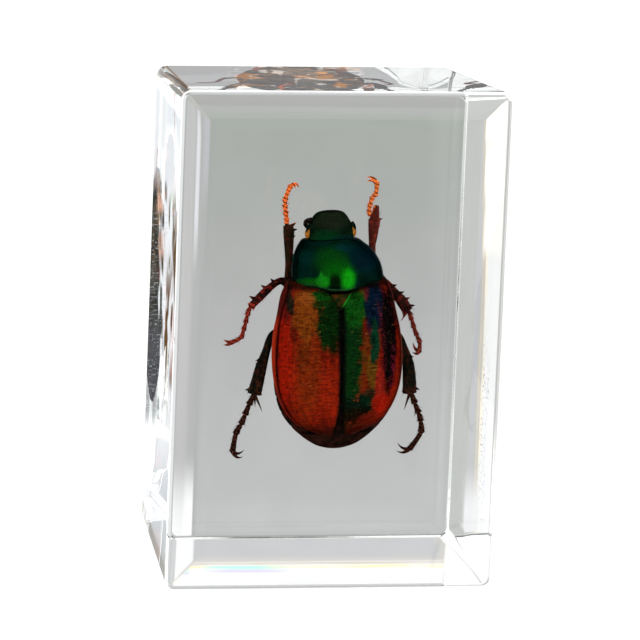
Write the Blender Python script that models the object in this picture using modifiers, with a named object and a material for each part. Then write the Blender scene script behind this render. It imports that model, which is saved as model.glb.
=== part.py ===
"""A chafer beetle cast in a clear resin block that lies on its back face.

+Z points out of the viewing face, +Y towards the beetle's head, and the origin is the centre of the
back face. The block is parted in two at the height of the wing cases' rims, with a pocket in each half.
The beetle's pieces are modelled in millimetres in its own frame, on an empty that places them.
"""

import math

import bmesh
import bpy
from mathutils import Vector

MM = 0.001

# Driving dimensions of the block, in metres.
BLOCK_WIDTH = 28.24 * MM
BLOCK_LENGTH = 42.9 * MM
BLOCK_DEPTH = 17.0 * MM
# The back face is smaller than the front and off its centre: left, right, bottom and top edge.
BACK_EDGES = (-13.39 * MM, 12.52 * MM, -19.9 * MM, 20.6 * MM)
UPRIGHT_RADIUS = 0.85 * MM
FRONT_RADIUS = 0.4 * MM
BACK_RADIUS = 0.3 * MM
ROUNDING_SEGMENTS = 4
# The front face is sunk a little inside a raised rim.
RIM_OUTER = 0.45 * MM
RIM_INNER = 2.45 * MM
SINK_DEPTH = 0.36 * MM
PIECE_GAP = 0.3 * MM

# Where the beetle lies in the block: the point between the wing cases' rims, and its turn.
BEETLE_PLACE = (0.915 * MM, -0.2 * MM, 8.2 * MM)
BEETLE_YAW = math.radians(2.7)

# The pockets, as half sizes in metres about the beetle.
FRONT_POCKET = (6.7 * MM, 12.2 * MM, 5.0 * MM)
BACK_POCKET = (10.2 * MM, 13.6 * MM, 5.8 * MM)
BACK_POCKET_RADIUS = 2.2 * MM
POCKET_SEGMENTS = 28
POCKET_RINGS = 14

# From here on the sizes are millimetres in the beetle's frame: x to its right, y to its head, z up.
SHELL = 0.4  # thickness of a wing case
GAP = 0.3
SUTURE = 0.15  # half of the gap between the wing cases
SHARP_ANGLE = math.radians(50)

# y, half width at the rim, height of the crown over the rim
ELYTRON = (
    (4.2, 4.35, 3.05),
    (3.3, 4.8, 3.45),
    (1.7, 5.12, 3.95),
    (0.0, 5.48, 4.2),
    (-2.2, 5.62, 4.2),
    (-4.7, 5.36, 3.85),
    (-6.5, 4.75, 3.1),
    (-7.7, 3.9, 2.3),
    (-8.5, 2.8, 1.6),
    (-9.0, 1.5, 1.15),
)
ELYTRON_BASE_DIP = 0.65  # how far the front edge falls back beside the scutellum
BASE_DIP_FADE = 6
CASE_SIDE_CURVE = 0.9
CASE_CROWN_CURVE = 0.8
CASE_ROWS = 17
CASE_COLUMNS = 9
CASE_ROW_SPACING = 1.25  # over 1 sets the rows closer towards the tip
NOTCH_HALF_WIDTH = 1.25  # the notch between the wing cases that the scutellum fills
NOTCH_FRONT = 3.65
NOTCH_TIP = 2.1
SCUTELLUM_SINK = 0.1  # it lies this much lower than the wing cases

# y, half width at the rim, rim height, belly depth
UNDERBODY = (
    (3.55, 3.3, -1.0, 2.5),
    (2.6, 4.0, -0.9, 3.1),
    (1.0, 4.7, -0.8, 3.6),
    (-1.0, 5.15, -0.75, 3.9),
    (-3.0, 5.35, -0.75, 3.85),
    (-5.1, 5.38, -0.75, 3.6),
    (-6.95, 4.84, -0.75, 3.1),
    (-8.3, 3.85, -0.8, 2.6),
    (-9.2, 2.75, -0.9, 2.2),
    (-9.85, 1.65, -1.0, 1.8),
    (-10.3, 0.5, -1.15, 1.45),
)
PYGIDIUM_TOP = ((-8.2, 1.0), (-9.0, 0.2), (-9.6, -0.1), (-10.3, -0.85))
PYGIDIUM_WIDTH_SHARE = 0.72
BACK_SINK = 0.35  # room between the wing cases and the body, beyond the gap
SIDE_SINK = 0.45
BODY_RINGS = 17
BODY_RING_SPACING = 0.9
BODY_SIDES = 24
# How full the body's cross section is, and how fast it narrows above the rims.
BODY_CURVE = 0.85
SHOULDER_CURVE = 0.6
SHOULDER_REACH = 1.6

# The prothorax bends a little to the beetle's left from the middle of its hind edge.
PROTHORAX_PIVOT = (0.13, 4.3)
PROTHORAX_YAW = math.radians(1.5)
# y from the pivot, sideways bend, half width, crown height, rim height, belly depth
PROTHORAX = (
    (0.0, 0.0, 3.95, 3.3, -0.1, 2.1),
    (0.7, -0.02, 3.93, 3.4, -0.25, 2.6),
    (1.5, -0.08, 3.8, 3.25, -0.4, 2.8),
    (2.3, -0.17, 3.5, 2.75, -0.55, 2.8),
    (3.0, -0.27, 3.1, 2.15, -0.65, 2.6),
    (3.45, -0.34, 2.75, 1.7, -0.7, 2.3),
    (3.7, -0.38, 2.5, 1.4, -0.7, 1.9),
)
PROTHORAX_LOBE = 0.5  # the middle of its hind edge reaches back by this
PROTHORAX_LOBE_WIDTH = 2.3
PROTHORAX_LOBE_END = 2.3
LOBE_FADE = 1.5

HEAD_CENTRE = -0.42
HEAD_SIDES = 18
HEAD_CURVE = 0.8
# y, half width, top height, bottom height
HEAD = (
    (8.3, 2.0, 1.15, -1.9),
    (8.45, 2.3, 1.1, -1.95),
    (8.75, 2.2, 0.95, -1.95),
    (9.05, 1.85, 0.8, -1.9),
    (9.45, 1.66, 0.6, -1.75),
    (9.9, 1.45, 0.35, -1.5),
    (10.25, 1.05, 0.05, -1.2),
    (10.45, 0.5, -0.25, -0.9),
)

# x, y, z, half width, half height along each leg, from the hip to the last tarsal joint
LEGS = {
    "front_left_leg": (
        (-1.4, 5.6, -3.75, 0.6, 0.5),
        (-2.6, 4.75, -3.25, 0.55, 0.45),
        (-3.45, 4.15, -2.75, 0.4, 0.36),
        (-3.85, 4.35, -2.45, 0.3, 0.26),
        (-3.8, 5.5, -2.3, 0.28, 0.24),
        (-3.8, 7.0, -2.2, 0.33, 0.22),
        (-3.8, 8.3, -2.2, 0.42, 0.22),
        (-3.8, 8.95, -2.2, 0.36, 0.2),
        (-4.0, 9.25, -2.2, 0.15, 0.15),
        (-4.13, 10.2, -2.2, 0.15, 0.15),
        (-4.12, 11.0, -2.25, 0.15, 0.15),
        (-4.0, 11.85, -2.3, 0.15, 0.15),
        (-3.7, 12.35, -2.4, 0.14, 0.14),
    ),
    "front_right_leg": (
        (1.4, 6.1, -3.75, 0.6, 0.5),
        (2.5, 5.5, -3.25, 0.55, 0.45),
        (3.2, 5.3, -2.8, 0.4, 0.36),
        (3.45, 5.9, -2.5, 0.3, 0.26),
        (3.5, 6.9, -2.35, 0.28, 0.24),
        (3.55, 8.0, -2.2, 0.4, 0.22),
        (3.6, 9.0, -2.2, 0.48, 0.22),
        (3.5, 9.45, -2.2, 0.36, 0.2),
        (3.25, 9.7, -2.2, 0.15, 0.15),
        (3.18, 10.3, -2.2, 0.15, 0.15),
        (3.45, 11.0, -2.25, 0.15, 0.15),
        (3.95, 11.65, -2.3, 0.15, 0.15),
        (3.95, 12.25, -2.4, 0.14, 0.14),
    ),
    "middle_left_leg": (
        (-1.6, 1.5, -4.65, 0.6, 0.5),
        (-3.0, 3.0, -4.05, 0.55, 0.45),
        (-3.9, 3.85, -3.65, 0.38, 0.34),
        (-4.5, 4.05, -3.2, 0.3, 0.26),
        (-5.3, 3.7, -2.6, 0.32, 0.24),
        (-6.3, 3.08, -2.3, 0.38, 0.22),
        (-7.1, 2.55, -2.2, 0.34, 0.2),
        (-7.35, 2.1, -2.2, 0.16, 0.15),
        (-7.5, 1.3, -2.25, 0.16, 0.15),
        (-7.65, 0.4, -2.3, 0.16, 0.15),
        (-7.95, -0.4, -2.35, 0.16, 0.15),
        (-8.4, -0.85, -2.4, 0.15, 0.14),
        (-8.85, -0.98, -2.5, 0.13, 0.13),
    ),
    "middle_right_leg": (
        (1.6, 1.5, -4.65, 0.6, 0.5),
        (3.0, 2.9, -4.05, 0.55, 0.45),
        (4.0, 3.8, -3.5, 0.38, 0.34),
        (4.7, 3.5, -3.0, 0.32, 0.26),
        (5.3, 2.8, -2.6, 0.36, 0.24),
        (6.0, 1.9, -2.3, 0.42, 0.22),
        (6.5, 1.15, -2.2, 0.36, 0.2),
        (6.75, 0.7, -2.2, 0.16, 0.15),
        (6.95, -0.1, -2.25, 0.16, 0.15),
        (7.25, -0.95, -2.3, 0.16, 0.15),
        (7.5, -1.65, -2.35, 0.16, 0.15),
        (7.65, -2.25, -2.4, 0.15, 0.14),
        (7.45, -2.65, -2.5, 0.13, 0.13),
    ),
    "hind_left_leg": (
        (-1.9, -0.6, -4.85, 0.7, 0.5),
        (-3.6, -0.5, -4.25, 0.7, 0.45),
        (-4.9, -0.6, -3.2, 0.5, 0.4),
        (-5.45, -0.95, -2.6, 0.36, 0.3),
        (-5.8, -1.9, -2.4, 0.36, 0.28),
        (-6.25, -3.2, -2.3, 0.5, 0.26),
        (-6.6, -4.5, -2.2, 0.56, 0.26),
        (-6.88, -5.5, -2.2, 0.6, 0.24),
        (-7.15, -6.05, -2.2, 0.2, 0.18),
        (-7.5, -6.85, -2.25, 0.18, 0.17),
        (-7.9, -7.85, -2.3, 0.18, 0.17),
        (-8.35, -8.75, -2.35, 0.17, 0.16),
        (-8.75, -9.6, -2.4, 0.17, 0.16),
        (-8.75, -10.35, -2.5, 0.15, 0.14),
    ),
    "hind_right_leg": (
        (1.9, -0.7, -4.85, 0.7, 0.5),
        (3.7, -0.7, -4.25, 0.7, 0.45),
        (5.1, -0.9, -3.2, 0.5, 0.4),
        (5.75, -1.25, -2.6, 0.36, 0.3),
        (6.15, -2.2, -2.4, 0.36, 0.28),
        (6.5, -3.5, -2.3, 0.5, 0.26),
        (6.6, -4.8, -2.2, 0.56, 0.26),
        (6.62, -6.1, -2.2, 0.6, 0.24),
        (6.8, -6.75, -2.2, 0.2, 0.18),
        (7.2, -7.6, -2.25, 0.18, 0.17),
        (7.5, -8.5, -2.3, 0.18, 0.17),
        (7.65, -9.4, -2.35, 0.17, 0.16),
        (7.4, -10.35, -2.4, 0.17, 0.16),
        (6.85, -11.0, -2.5, 0.15, 0.14),
    ),
}
LEG_SIDES = 6
RINGS_PER_SPAN = 2
# For each leg: how far along it, which side of it (1 right, -1 left), length, how far it leans forward
SPINES = {
    "front_left_leg": ((7.0, 1, 0.4, 0.5), (6.2, 1, 0.25, 0.3)),
    "front_right_leg": ((7.0, 1, 0.95, 1.6), (6.2, 1, 0.25, 0.3)),
    "middle_left_leg": ((5.0, 1, 0.3, 0.5), (6.0, 1, 0.35, 0.8), (6.0, -1, 0.4, 1.2)),
    "middle_right_leg": ((5.0, -1, 0.3, 0.5), (6.0, -1, 0.35, 0.8), (6.0, 1, 0.75, 1.0)),
    "hind_left_leg": ((5.0, 1, 0.3, 0.6), (7.0, 1, 0.35, 0.8), (7.0, -1, 1.1, 3.0)),
    "hind_right_leg": ((5.0, -1, 0.3, 0.6), (7.0, -1, 0.35, 0.8), (7.0, 1, 0.95, 3.0)),
}
SPINE_TIP_SCALE = 0.2
CLAW_LENGTH = 0.6
CLAW_SPREAD = 0.55

# x, y, z, radius along each antenna, which is folded under the head
ANTENNAE = {
    "left_antenna": (
        (-2.35, 9.5, -0.3, 0.12),
        (-2.57, 9.68, -0.12, 0.17),
        (-2.62, 9.45, -0.7, 0.12),
        (-2.55, 9.2, -1.4, 0.11),
        (-2.35, 8.95, -2.15, 0.14),
        (-2.0, 8.7, -2.45, 0.2),
        (-1.6, 8.55, -2.5, 0.12),
    ),
    "right_antenna": (
        (1.55, 9.5, -0.95, 0.12),
        (1.6, 9.4, -1.3, 0.13),
        (1.52, 9.2, -1.8, 0.11),
        (1.35, 8.95, -2.2, 0.13),
        (1.0, 8.7, -2.45, 0.2),
        (0.6, 8.55, -2.5, 0.12),
    ),
}
ANTENNA_SIDES = 6


def clear_scene():
    for item in list(bpy.data.objects):
        bpy.data.objects.remove(item, do_unlink=True)


def make_collection(name):
    group = bpy.data.collections.new(name)
    bpy.context.scene.collection.children.link(group)
    return group


def make_material(name, colour, roughness, metallic=0.0, transmission=0.0):
    material = bpy.data.materials.new(name)
    material.use_nodes = True
    shader = material.node_tree.nodes["Principled BSDF"]
    shader.inputs["Base Color"].default_value = (*colour, 1.0)
    shader.inputs["Roughness"].default_value = roughness
    shader.inputs["Metallic"].default_value = metallic
    shader.inputs["Transmission Weight"].default_value = transmission
    return material


def curve_through(stations, y):
    """The rest of a station's numbers at y, on a smooth curve through the stations."""
    rows = sorted(stations)
    last = len(rows) - 1
    k = 0
    while k < last - 1 and y > rows[k + 1][0]:
        k += 1
    before, low, high, after = rows[max(k - 1, 0)], rows[k], rows[k + 1], rows[min(k + 2, last)]
    span = high[0] - low[0]
    t = min(max((y - low[0]) / span, 0.0), 1.0)
    values = []
    for i in range(1, len(low)):
        slope_in = (high[i] - before[i]) / (high[0] - before[0]) * span
        slope_out = (after[i] - low[i]) / (after[0] - low[0]) * span
        values.append(
            (2 * t**3 - 3 * t**2 + 1) * low[i]
            + (t**3 - 2 * t**2 + t) * slope_in
            + (3 * t**2 - 2 * t**3) * high[i]
            + (t**3 - t**2) * slope_out
        )
    return values


def object_from(mesh_builder, name, group, material, parent=None, scale=1.0):
    """Turns a bmesh into a named object, scaled to metres, with smooth faces and its material."""
    bmesh.ops.scale(mesh_builder, vec=(scale, scale, scale), verts=mesh_builder.verts)
    bmesh.ops.recalc_face_normals(mesh_builder, faces=mesh_builder.faces)
    mesh = bpy.data.meshes.new(name)
    mesh_builder.to_mesh(mesh)
    mesh_builder.free()
    mesh.shade_smooth()
    mesh.set_sharp_from_angle(angle=SHARP_ANGLE)
    mesh.materials.append(material)
    item = bpy.data.objects.new(name, mesh)
    item.parent = parent
    group.objects.link(item)
    return item


def loft(rings):
    """A closed body through rings of equally many points, with a cap at each end."""
    builder = bmesh.new()
    loops = [[builder.verts.new(point) for point in ring] for ring in rings]
    count = len(loops[0])
    for near, far in zip(loops, loops[1:]):
        for i in range(count):
            j = (i + 1) % count
            builder.faces.new((near[i], near[j], far[j], far[i]))
    builder.faces.new(loops[0])
    builder.faces.new(loops[-1])
    return builder


def mark_bevels(mesh, is_front, is_back):
    """Edges that the Bevel modifier rounds: the four uprights and the rim of the outer face."""
    weights = mesh.attributes.new("bevel_weight_edge", "FLOAT", "EDGE")
    heights = [vertex.co.z for vertex in mesh.vertices]
    for edge in mesh.edges:
        ends = [heights[v] for v in edge.vertices]
        if ends[0] != ends[1]:
            weights.data[edge.index].value = 1.0
        elif is_front and ends[0] == max(heights):
            weights.data[edge.index].value = FRONT_RADIUS / UPRIGHT_RADIUS
        elif is_back and ends[0] == min(heights):
            weights.data[edge.index].value = BACK_RADIUS / UPRIGHT_RADIUS


def edges_at(height):
    """Left, right, bottom and top edge of the drafted block at a height."""
    along = height / BLOCK_DEPTH
    front = (-BLOCK_WIDTH / 2, BLOCK_WIDTH / 2, -BLOCK_LENGTH / 2, BLOCK_LENGTH / 2)
    return [back + (fore - back) * along for fore, back in zip(front, BACK_EDGES)]


def tapered_box(name, low, high, group, material):
    """The stretch of the drafted block between two heights."""
    builder = bmesh.new()
    bmesh.ops.create_cube(builder, size=1.0)
    for vertex in builder.verts:
        height = low if vertex.co.z < 0 else high
        left, right, bottom, top = edges_at(height)
        vertex.co.x = left if vertex.co.x < 0 else right
        vertex.co.y = bottom if vertex.co.y < 0 else top
        vertex.co.z = height
    item = object_from(builder, name, group, material)
    mark_bevels(item.data, high == BLOCK_DEPTH, low == 0.0)
    bevel = item.modifiers.new("rounded_edges", "BEVEL")
    bevel.limit_method = "WEIGHT"
    bevel.width = UPRIGHT_RADIUS
    bevel.segments = ROUNDING_SEGMENTS
    return item


def front_sink_cutter(group):
    """A shallow tapered tray whose sides keep on at their slope over the rim."""
    slope = SINK_DEPTH / (RIM_INNER - RIM_OUTER)
    over = 1.0 * MM
    left, right, bottom, top = edges_at(BLOCK_DEPTH)
    builder = bmesh.new()
    bmesh.ops.create_cube(builder, size=1.0)
    for vertex in builder.verts:
        is_low = vertex.co.z < 0
        inset = RIM_INNER if is_low else RIM_OUTER - over
        vertex.co.x = left + inset if vertex.co.x < 0 else right - inset
        vertex.co.y = bottom + inset if vertex.co.y < 0 else top - inset
        vertex.co.z = BLOCK_DEPTH - SINK_DEPTH if is_low else BLOCK_DEPTH + over * slope
    return make_cutter("front_sink_cutter", builder, group)


def place_on_beetle(item):
    item.location = BEETLE_PLACE
    item.rotation_euler = (0.0, 0.0, BEETLE_YAW)


def make_cutter(name, builder, group):
    mesh = bpy.data.meshes.new(name)
    builder.to_mesh(mesh)
    builder.free()
    item = bpy.data.objects.new(name, mesh)
    item.hide_render = True
    item.display_type = "WIRE"
    group.objects.link(item)
    return item


def cut(item, cutter, name):
    boolean = item.modifiers.new(name, "BOOLEAN")
    boolean.operation = "DIFFERENCE"
    boolean.solver = "EXACT"
    boolean.object = cutter


def make_block(group, cutters, material):
    split = BEETLE_PLACE[2]
    back = tapered_box("resin_back", 0.0, split - PIECE_GAP / 2, group, material)
    front = tapered_box("resin_front", split + PIECE_GAP / 2, BLOCK_DEPTH, group, material)

    builder = bmesh.new()
    bmesh.ops.create_uvsphere(builder, u_segments=POCKET_SEGMENTS, v_segments=POCKET_RINGS, radius=1.0)
    bmesh.ops.scale(builder, vec=FRONT_POCKET, verts=builder.verts)
    dome = make_cutter("front_pocket_cutter", builder, cutters)
    place_on_beetle(dome)
    cut(front, dome, "pocket")
    cut(front, front_sink_cutter(cutters), "sunk_face")

    builder = bmesh.new()
    bmesh.ops.create_cube(builder, size=2.0)
    bmesh.ops.scale(builder, vec=BACK_POCKET, verts=builder.verts)
    tray = make_cutter("back_pocket_cutter", builder, cutters)
    place_on_beetle(tray)
    rounding = tray.modifiers.new("rounded_pocket", "BEVEL")
    rounding.width = BACK_POCKET_RADIUS
    rounding.segments = ROUNDING_SEGMENTS
    cut(back, tray, "pocket")


def elytron_inner_x(y):
    """How far from the beetle's middle a wing case starts: it gives way to the scutellum in front."""
    along = (y - NOTCH_TIP) / (NOTCH_FRONT - NOTCH_TIP)
    return SUTURE + (NOTCH_HALF_WIDTH - SUTURE) * min(max(along, 0.0), 1.0)


def elytron_point(side, across, along):
    """A point of a wing case's outside: across runs from the suture to the rim, along from front to tip."""
    front, tip = ELYTRON[0][0], ELYTRON[-1][0]
    row_y = front + (tip - front) * along
    width, crown = curve_through(ELYTRON, row_y)
    fade = (1.0 - along) ** BASE_DIP_FADE
    y = row_y - ELYTRON_BASE_DIP * (1.0 - across) * fade
    inner = elytron_inner_x(y)
    turn = across * math.pi / 2
    x = inner + (width - inner) * math.sin(turn) ** CASE_SIDE_CURVE
    z = crown * math.cos(turn) ** CASE_CROWN_CURVE if across < 1.0 else 0.0
    return Vector((side * x, y, z))


def make_elytron(name, side, group, material, parent):
    builder = bmesh.new()
    rows = []
    for row in range(CASE_ROWS):
        along = 1.0 - (1.0 - row / (CASE_ROWS - 1)) ** CASE_ROW_SPACING
        points = [elytron_point(side, column / (CASE_COLUMNS - 1), along) for column in range(CASE_COLUMNS)]
        rows.append([builder.verts.new(point) for point in points])
    for upper, lower in zip(rows, rows[1:]):
        for i in range(CASE_COLUMNS - 1):
            corners = (upper[i], lower[i], lower[i + 1], upper[i + 1])
            builder.faces.new(corners if side > 0 else corners[::-1])
    item = object_from(builder, name, group, material, parent, MM)
    shell = item.modifiers.new("shell", "SOLIDIFY")
    shell.thickness = SHELL * MM
    shell.offset = -1.0
    return item


def body_section(y, width, top, rim, depth, top_width):
    """A ring round the body: a low arch above the rims and a deeper belly under them."""
    ring = []
    for i in range(BODY_SIDES):
        turn = 2 * math.pi * i / BODY_SIDES
        side, height = math.cos(turn), math.sin(turn)
        spread = math.copysign(abs(side) ** BODY_CURVE, side)
        if height > 0:
            half = width + (top_width - width) * min(height**SHOULDER_CURVE * SHOULDER_REACH, 1.0)
            ring.append((half * spread, y, rim + (top - rim) * height**BODY_CURVE))
        else:
            ring.append((width * spread, y, rim - (depth + rim) * abs(height) ** BODY_CURVE))
    return ring


def make_underbody(group, material, parent):
    tip, front = UNDERBODY[-1][0], UNDERBODY[0][0]
    rings = []
    for k in range(BODY_RINGS):
        turn = k / (BODY_RINGS - 1) * math.pi / 2
        y = front + (tip - front) * math.sin(turn) ** BODY_RING_SPACING
        width, rim, depth = curve_through(UNDERBODY, y)
        if y > PYGIDIUM_TOP[0][0]:
            case_width, crown = curve_through(ELYTRON, y)
            top = crown - SHELL - GAP - BACK_SINK
            top_width = min(width, case_width - SHELL - GAP - SIDE_SINK)
        else:
            (top,) = curve_through(PYGIDIUM_TOP, y)
            case_width = curve_through(ELYTRON, y)[0] if y > ELYTRON[-1][0] else width
            top_width = min(width, case_width) * PYGIDIUM_WIDTH_SHARE
        rings.append(body_section(y, width, top, rim, depth, top_width))
    return object_from(loft(rings), "underbody", group, material, parent, MM)


def make_prothorax(group, material, parent):
    rings = []
    for y, bend, width, crown, rim, depth in PROTHORAX:
        ring = body_section(y, width, crown, rim, depth, width)
        fade = max(1.0 - y / PROTHORAX_LOBE_END, 0.0) ** LOBE_FADE
        shaped = []
        for x, along, z in ring:
            lobe = max(1.0 - (x / PROTHORAX_LOBE_WIDTH) ** 2, 0.0) * PROTHORAX_LOBE * fade
            above = min(max(z - rim, 0.0), 1.0)
            shaped.append((x + bend, along - lobe * above, z))
        rings.append(shaped)
    item = object_from(loft(rings), "prothorax", group, material, parent, MM)
    item.location = (PROTHORAX_PIVOT[0] * MM, PROTHORAX_PIVOT[1] * MM, 0.0)
    item.rotation_euler = (0.0, 0.0, PROTHORAX_YAW)
    return item


def make_head(group, material, parent):
    rings = []
    for y, width, top, bottom in HEAD:
        ring = []
        for i in range(HEAD_SIDES):
            turn = 2 * math.pi * i / HEAD_SIDES
            side, height = math.cos(turn), math.sin(turn)
            middle, half = (top + bottom) / 2, (top - bottom) / 2
            spread = math.copysign(abs(side) ** HEAD_CURVE, side)
            ring.append((HEAD_CENTRE + width * spread, y, middle + half * height))
        rings.append(ring)
    return object_from(loft(rings), "head", group, material, parent, MM)


def make_scutellum(group, material, parent):
    """A small shield between the wing cases' front ends, a little lower than they are."""
    front_y, tip_y = NOTCH_FRONT - GAP, NOTCH_TIP + GAP
    half = elytron_inner_x(front_y) - GAP
    front_top = curve_through(ELYTRON, front_y)[1] - SCUTELLUM_SINK
    tip_top = curve_through(ELYTRON, tip_y)[1] - SCUTELLUM_SINK
    outline = ((-half, front_y, front_top), (half, front_y, front_top), (0.0, tip_y, tip_top))
    builder = bmesh.new()
    top = [builder.verts.new(point) for point in outline]
    bottom = [builder.verts.new((x, y, z - SHELL)) for x, y, z in outline]
    builder.faces.new(top)
    builder.faces.new(bottom)
    for i in range(3):
        j = (i + 1) % 3
        builder.faces.new((top[i], top[j], bottom[j], bottom[i]))
    return object_from(builder, "scutellum", group, material, parent, MM)


def points_along(stations, per_span):
    """Points on a smooth curve through the stations, each with its radii."""
    rows = [Vector(row) for row in stations]
    last = len(rows) - 1
    points = []
    for k in range(last):
        before, low, high, after = rows[max(k - 1, 0)], rows[k], rows[k + 1], rows[min(k + 2, last)]
        for step in range(per_span):
            t = step / per_span
            slope_in, slope_out = (high - before) / 2, (after - low) / 2
            points.append(
                (2 * t**3 - 3 * t**2 + 1) * low
                + (t**3 - 2 * t**2 + t) * slope_in
                + (3 * t**2 - 2 * t**3) * high
                + (t**3 - t**2) * slope_out
            )
    points.append(rows[last])
    return points


def limb(points, sides):
    """A limb as a loft of flat ovals across its path."""
    rings = []
    for k, point in enumerate(points):
        ahead = points[min(k + 1, len(points) - 1)]
        behind = points[max(k - 1, 0)]
        forward = (ahead.xyz - behind.xyz).normalized()
        right = forward.cross(Vector((0.0, 0.0, 1.0))).normalized()
        up = right.cross(forward)
        ring = []
        for i in range(sides):
            turn = 2 * math.pi * (i - 0.5) / sides
            ring.append(point.xyz + right * (math.cos(turn) * point[3]) + up * (math.sin(turn) * point[-1]))
        rings.append(ring)
    return loft(rings)


def grow_spine(builder, face, offset):
    """Draws one face of a limb out into a pointed spine."""
    grown = bmesh.ops.extrude_discrete_faces(builder, faces=[face])["faces"][0]
    centre = grown.calc_center_median()
    for vertex in grown.verts:
        vertex.co = centre + (vertex.co - centre) * SPINE_TIP_SCALE + offset


def make_leg(name, stations, group, material, parent):
    points = points_along(stations, RINGS_PER_SPAN)
    builder = limb(points, LEG_SIDES)
    builder.faces.ensure_lookup_table()
    chosen = []
    for station, side, length, lean in SPINES[name]:
        ring = min(int(station * RINGS_PER_SPAN), len(points) - 2)
        forward = (points[ring + 1].xyz - points[ring].xyz).normalized()
        right = forward.cross(Vector((0.0, 0.0, 1.0))).normalized()
        offset = (right * side + forward * lean).normalized() * length
        sector = 0 if side > 0 else LEG_SIDES // 2
        chosen.append((builder.faces[ring * LEG_SIDES + sector], offset))
    last = len(points) - 2
    forward = (points[-1].xyz - points[-2].xyz).normalized()
    right = forward.cross(Vector((0.0, 0.0, 1.0))).normalized()
    for side, sector in ((1, 0), (-1, LEG_SIDES // 2)):
        offset = (forward + right * (side * CLAW_SPREAD)).normalized() * CLAW_LENGTH
        chosen.append((builder.faces[last * LEG_SIDES + sector], offset))
    for face, offset in chosen:
        grow_spine(builder, face, offset)
    return object_from(builder, name, group, material, parent, MM)


def make_antenna(name, stations, group, material, parent):
    points = points_along(stations, RINGS_PER_SPAN)
    builder = limb(points, ANTENNA_SIDES)
    return object_from(builder, name, group, material, parent, MM)


def main():
    clear_scene()
    group = make_collection("insect_in_resin_block")
    cutters = make_collection("cutters")

    resin = make_material("clear_resin", (0.93, 0.96, 0.95), 0.03, transmission=1.0)
    red_case = make_material("red_wing_case", (0.42, 0.05, 0.01), 0.32, 0.6)
    green_case = make_material("green_wing_case", (0.03, 0.16, 0.04), 0.32, 0.6)
    green_shell = make_material("green_shell", (0.01, 0.14, 0.06), 0.25, 0.7)
    dark_head = make_material("dark_head", (0.01, 0.03, 0.02), 0.35, 0.4)
    maroon = make_material("maroon_body", (0.07, 0.015, 0.01), 0.4, 0.2)
    leg_brown = make_material("leg_brown", (0.1, 0.025, 0.015), 0.4, 0.2)
    antenna_brown = make_material("antenna_brown", (0.12, 0.04, 0.015), 0.45)

    make_block(group, cutters, resin)

    beetle = bpy.data.objects.new("beetle", None)
    place_on_beetle(beetle)
    group.objects.link(beetle)

    make_elytron("left_elytron", -1, group, red_case, beetle)
    make_elytron("right_elytron", 1, group, green_case, beetle)
    make_prothorax(group, green_shell, beetle)
    make_head(group, dark_head, beetle)
    make_scutellum(group, green_shell, beetle)
    make_underbody(group, maroon, beetle)
    for name, stations in LEGS.items():
        make_leg(name, stations, group, leg_brown, beetle)
    for name, stations in ANTENNAE.items():
        make_antenna(name, stations, group, antenna_brown, beetle)


main()
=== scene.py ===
import math
import random

import bmesh
import bpy
from mathutils import Matrix, Vector


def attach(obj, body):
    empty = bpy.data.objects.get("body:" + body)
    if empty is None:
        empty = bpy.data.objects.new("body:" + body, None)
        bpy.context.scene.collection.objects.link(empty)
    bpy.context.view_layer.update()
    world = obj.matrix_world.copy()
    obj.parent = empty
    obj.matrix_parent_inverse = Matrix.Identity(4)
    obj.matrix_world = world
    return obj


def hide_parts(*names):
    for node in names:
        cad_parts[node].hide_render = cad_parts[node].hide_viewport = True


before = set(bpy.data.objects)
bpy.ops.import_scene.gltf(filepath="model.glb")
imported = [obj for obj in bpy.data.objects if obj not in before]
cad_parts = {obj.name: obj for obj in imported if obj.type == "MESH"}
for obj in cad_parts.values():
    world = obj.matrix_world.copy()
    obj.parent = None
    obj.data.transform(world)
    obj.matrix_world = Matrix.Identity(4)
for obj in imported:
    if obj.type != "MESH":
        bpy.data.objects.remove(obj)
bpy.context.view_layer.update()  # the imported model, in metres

mm = 0.001
scene = bpy.context.scene

# where the beetle lies in the block, as in the solids
beetle = {"place": (0.915, -0.2, 8.2), "yaw": 2.7}


class Wire:
    # a node's output that can be added, multiplied and compared like a number

    def __init__(self, finish, socket):
        self.finish, self.socket = finish, socket

    def math(self, operation, *values):
        # a Math node on the given values, or on this one alone
        settings = {"operation": operation}
        return self.finish.node("ShaderNodeMath", settings, dict(enumerate(values or (self,))))

    def __add__(self, other):
        return self.math("ADD", self, other)

    def __sub__(self, other):
        return self.math("SUBTRACT", self, other)

    def __rsub__(self, other):
        return self.math("SUBTRACT", other, self)

    def __mul__(self, other):
        return self.math("MULTIPLY", self, other)

    def __truediv__(self, other):
        return self.math("DIVIDE", self, other)

    def __pow__(self, other):
        return self.math("POWER", self, other)

    def __neg__(self):
        return self.math("MULTIPLY", self, -1)

    def __abs__(self):
        return self.math("ABSOLUTE")

    def larger(self, other):
        return self.math("MAXIMUM", self, other)

    def smaller(self, other):
        return self.math("MINIMUM", self, other)

    __radd__ = __add__
    __rmul__ = __mul__


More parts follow.
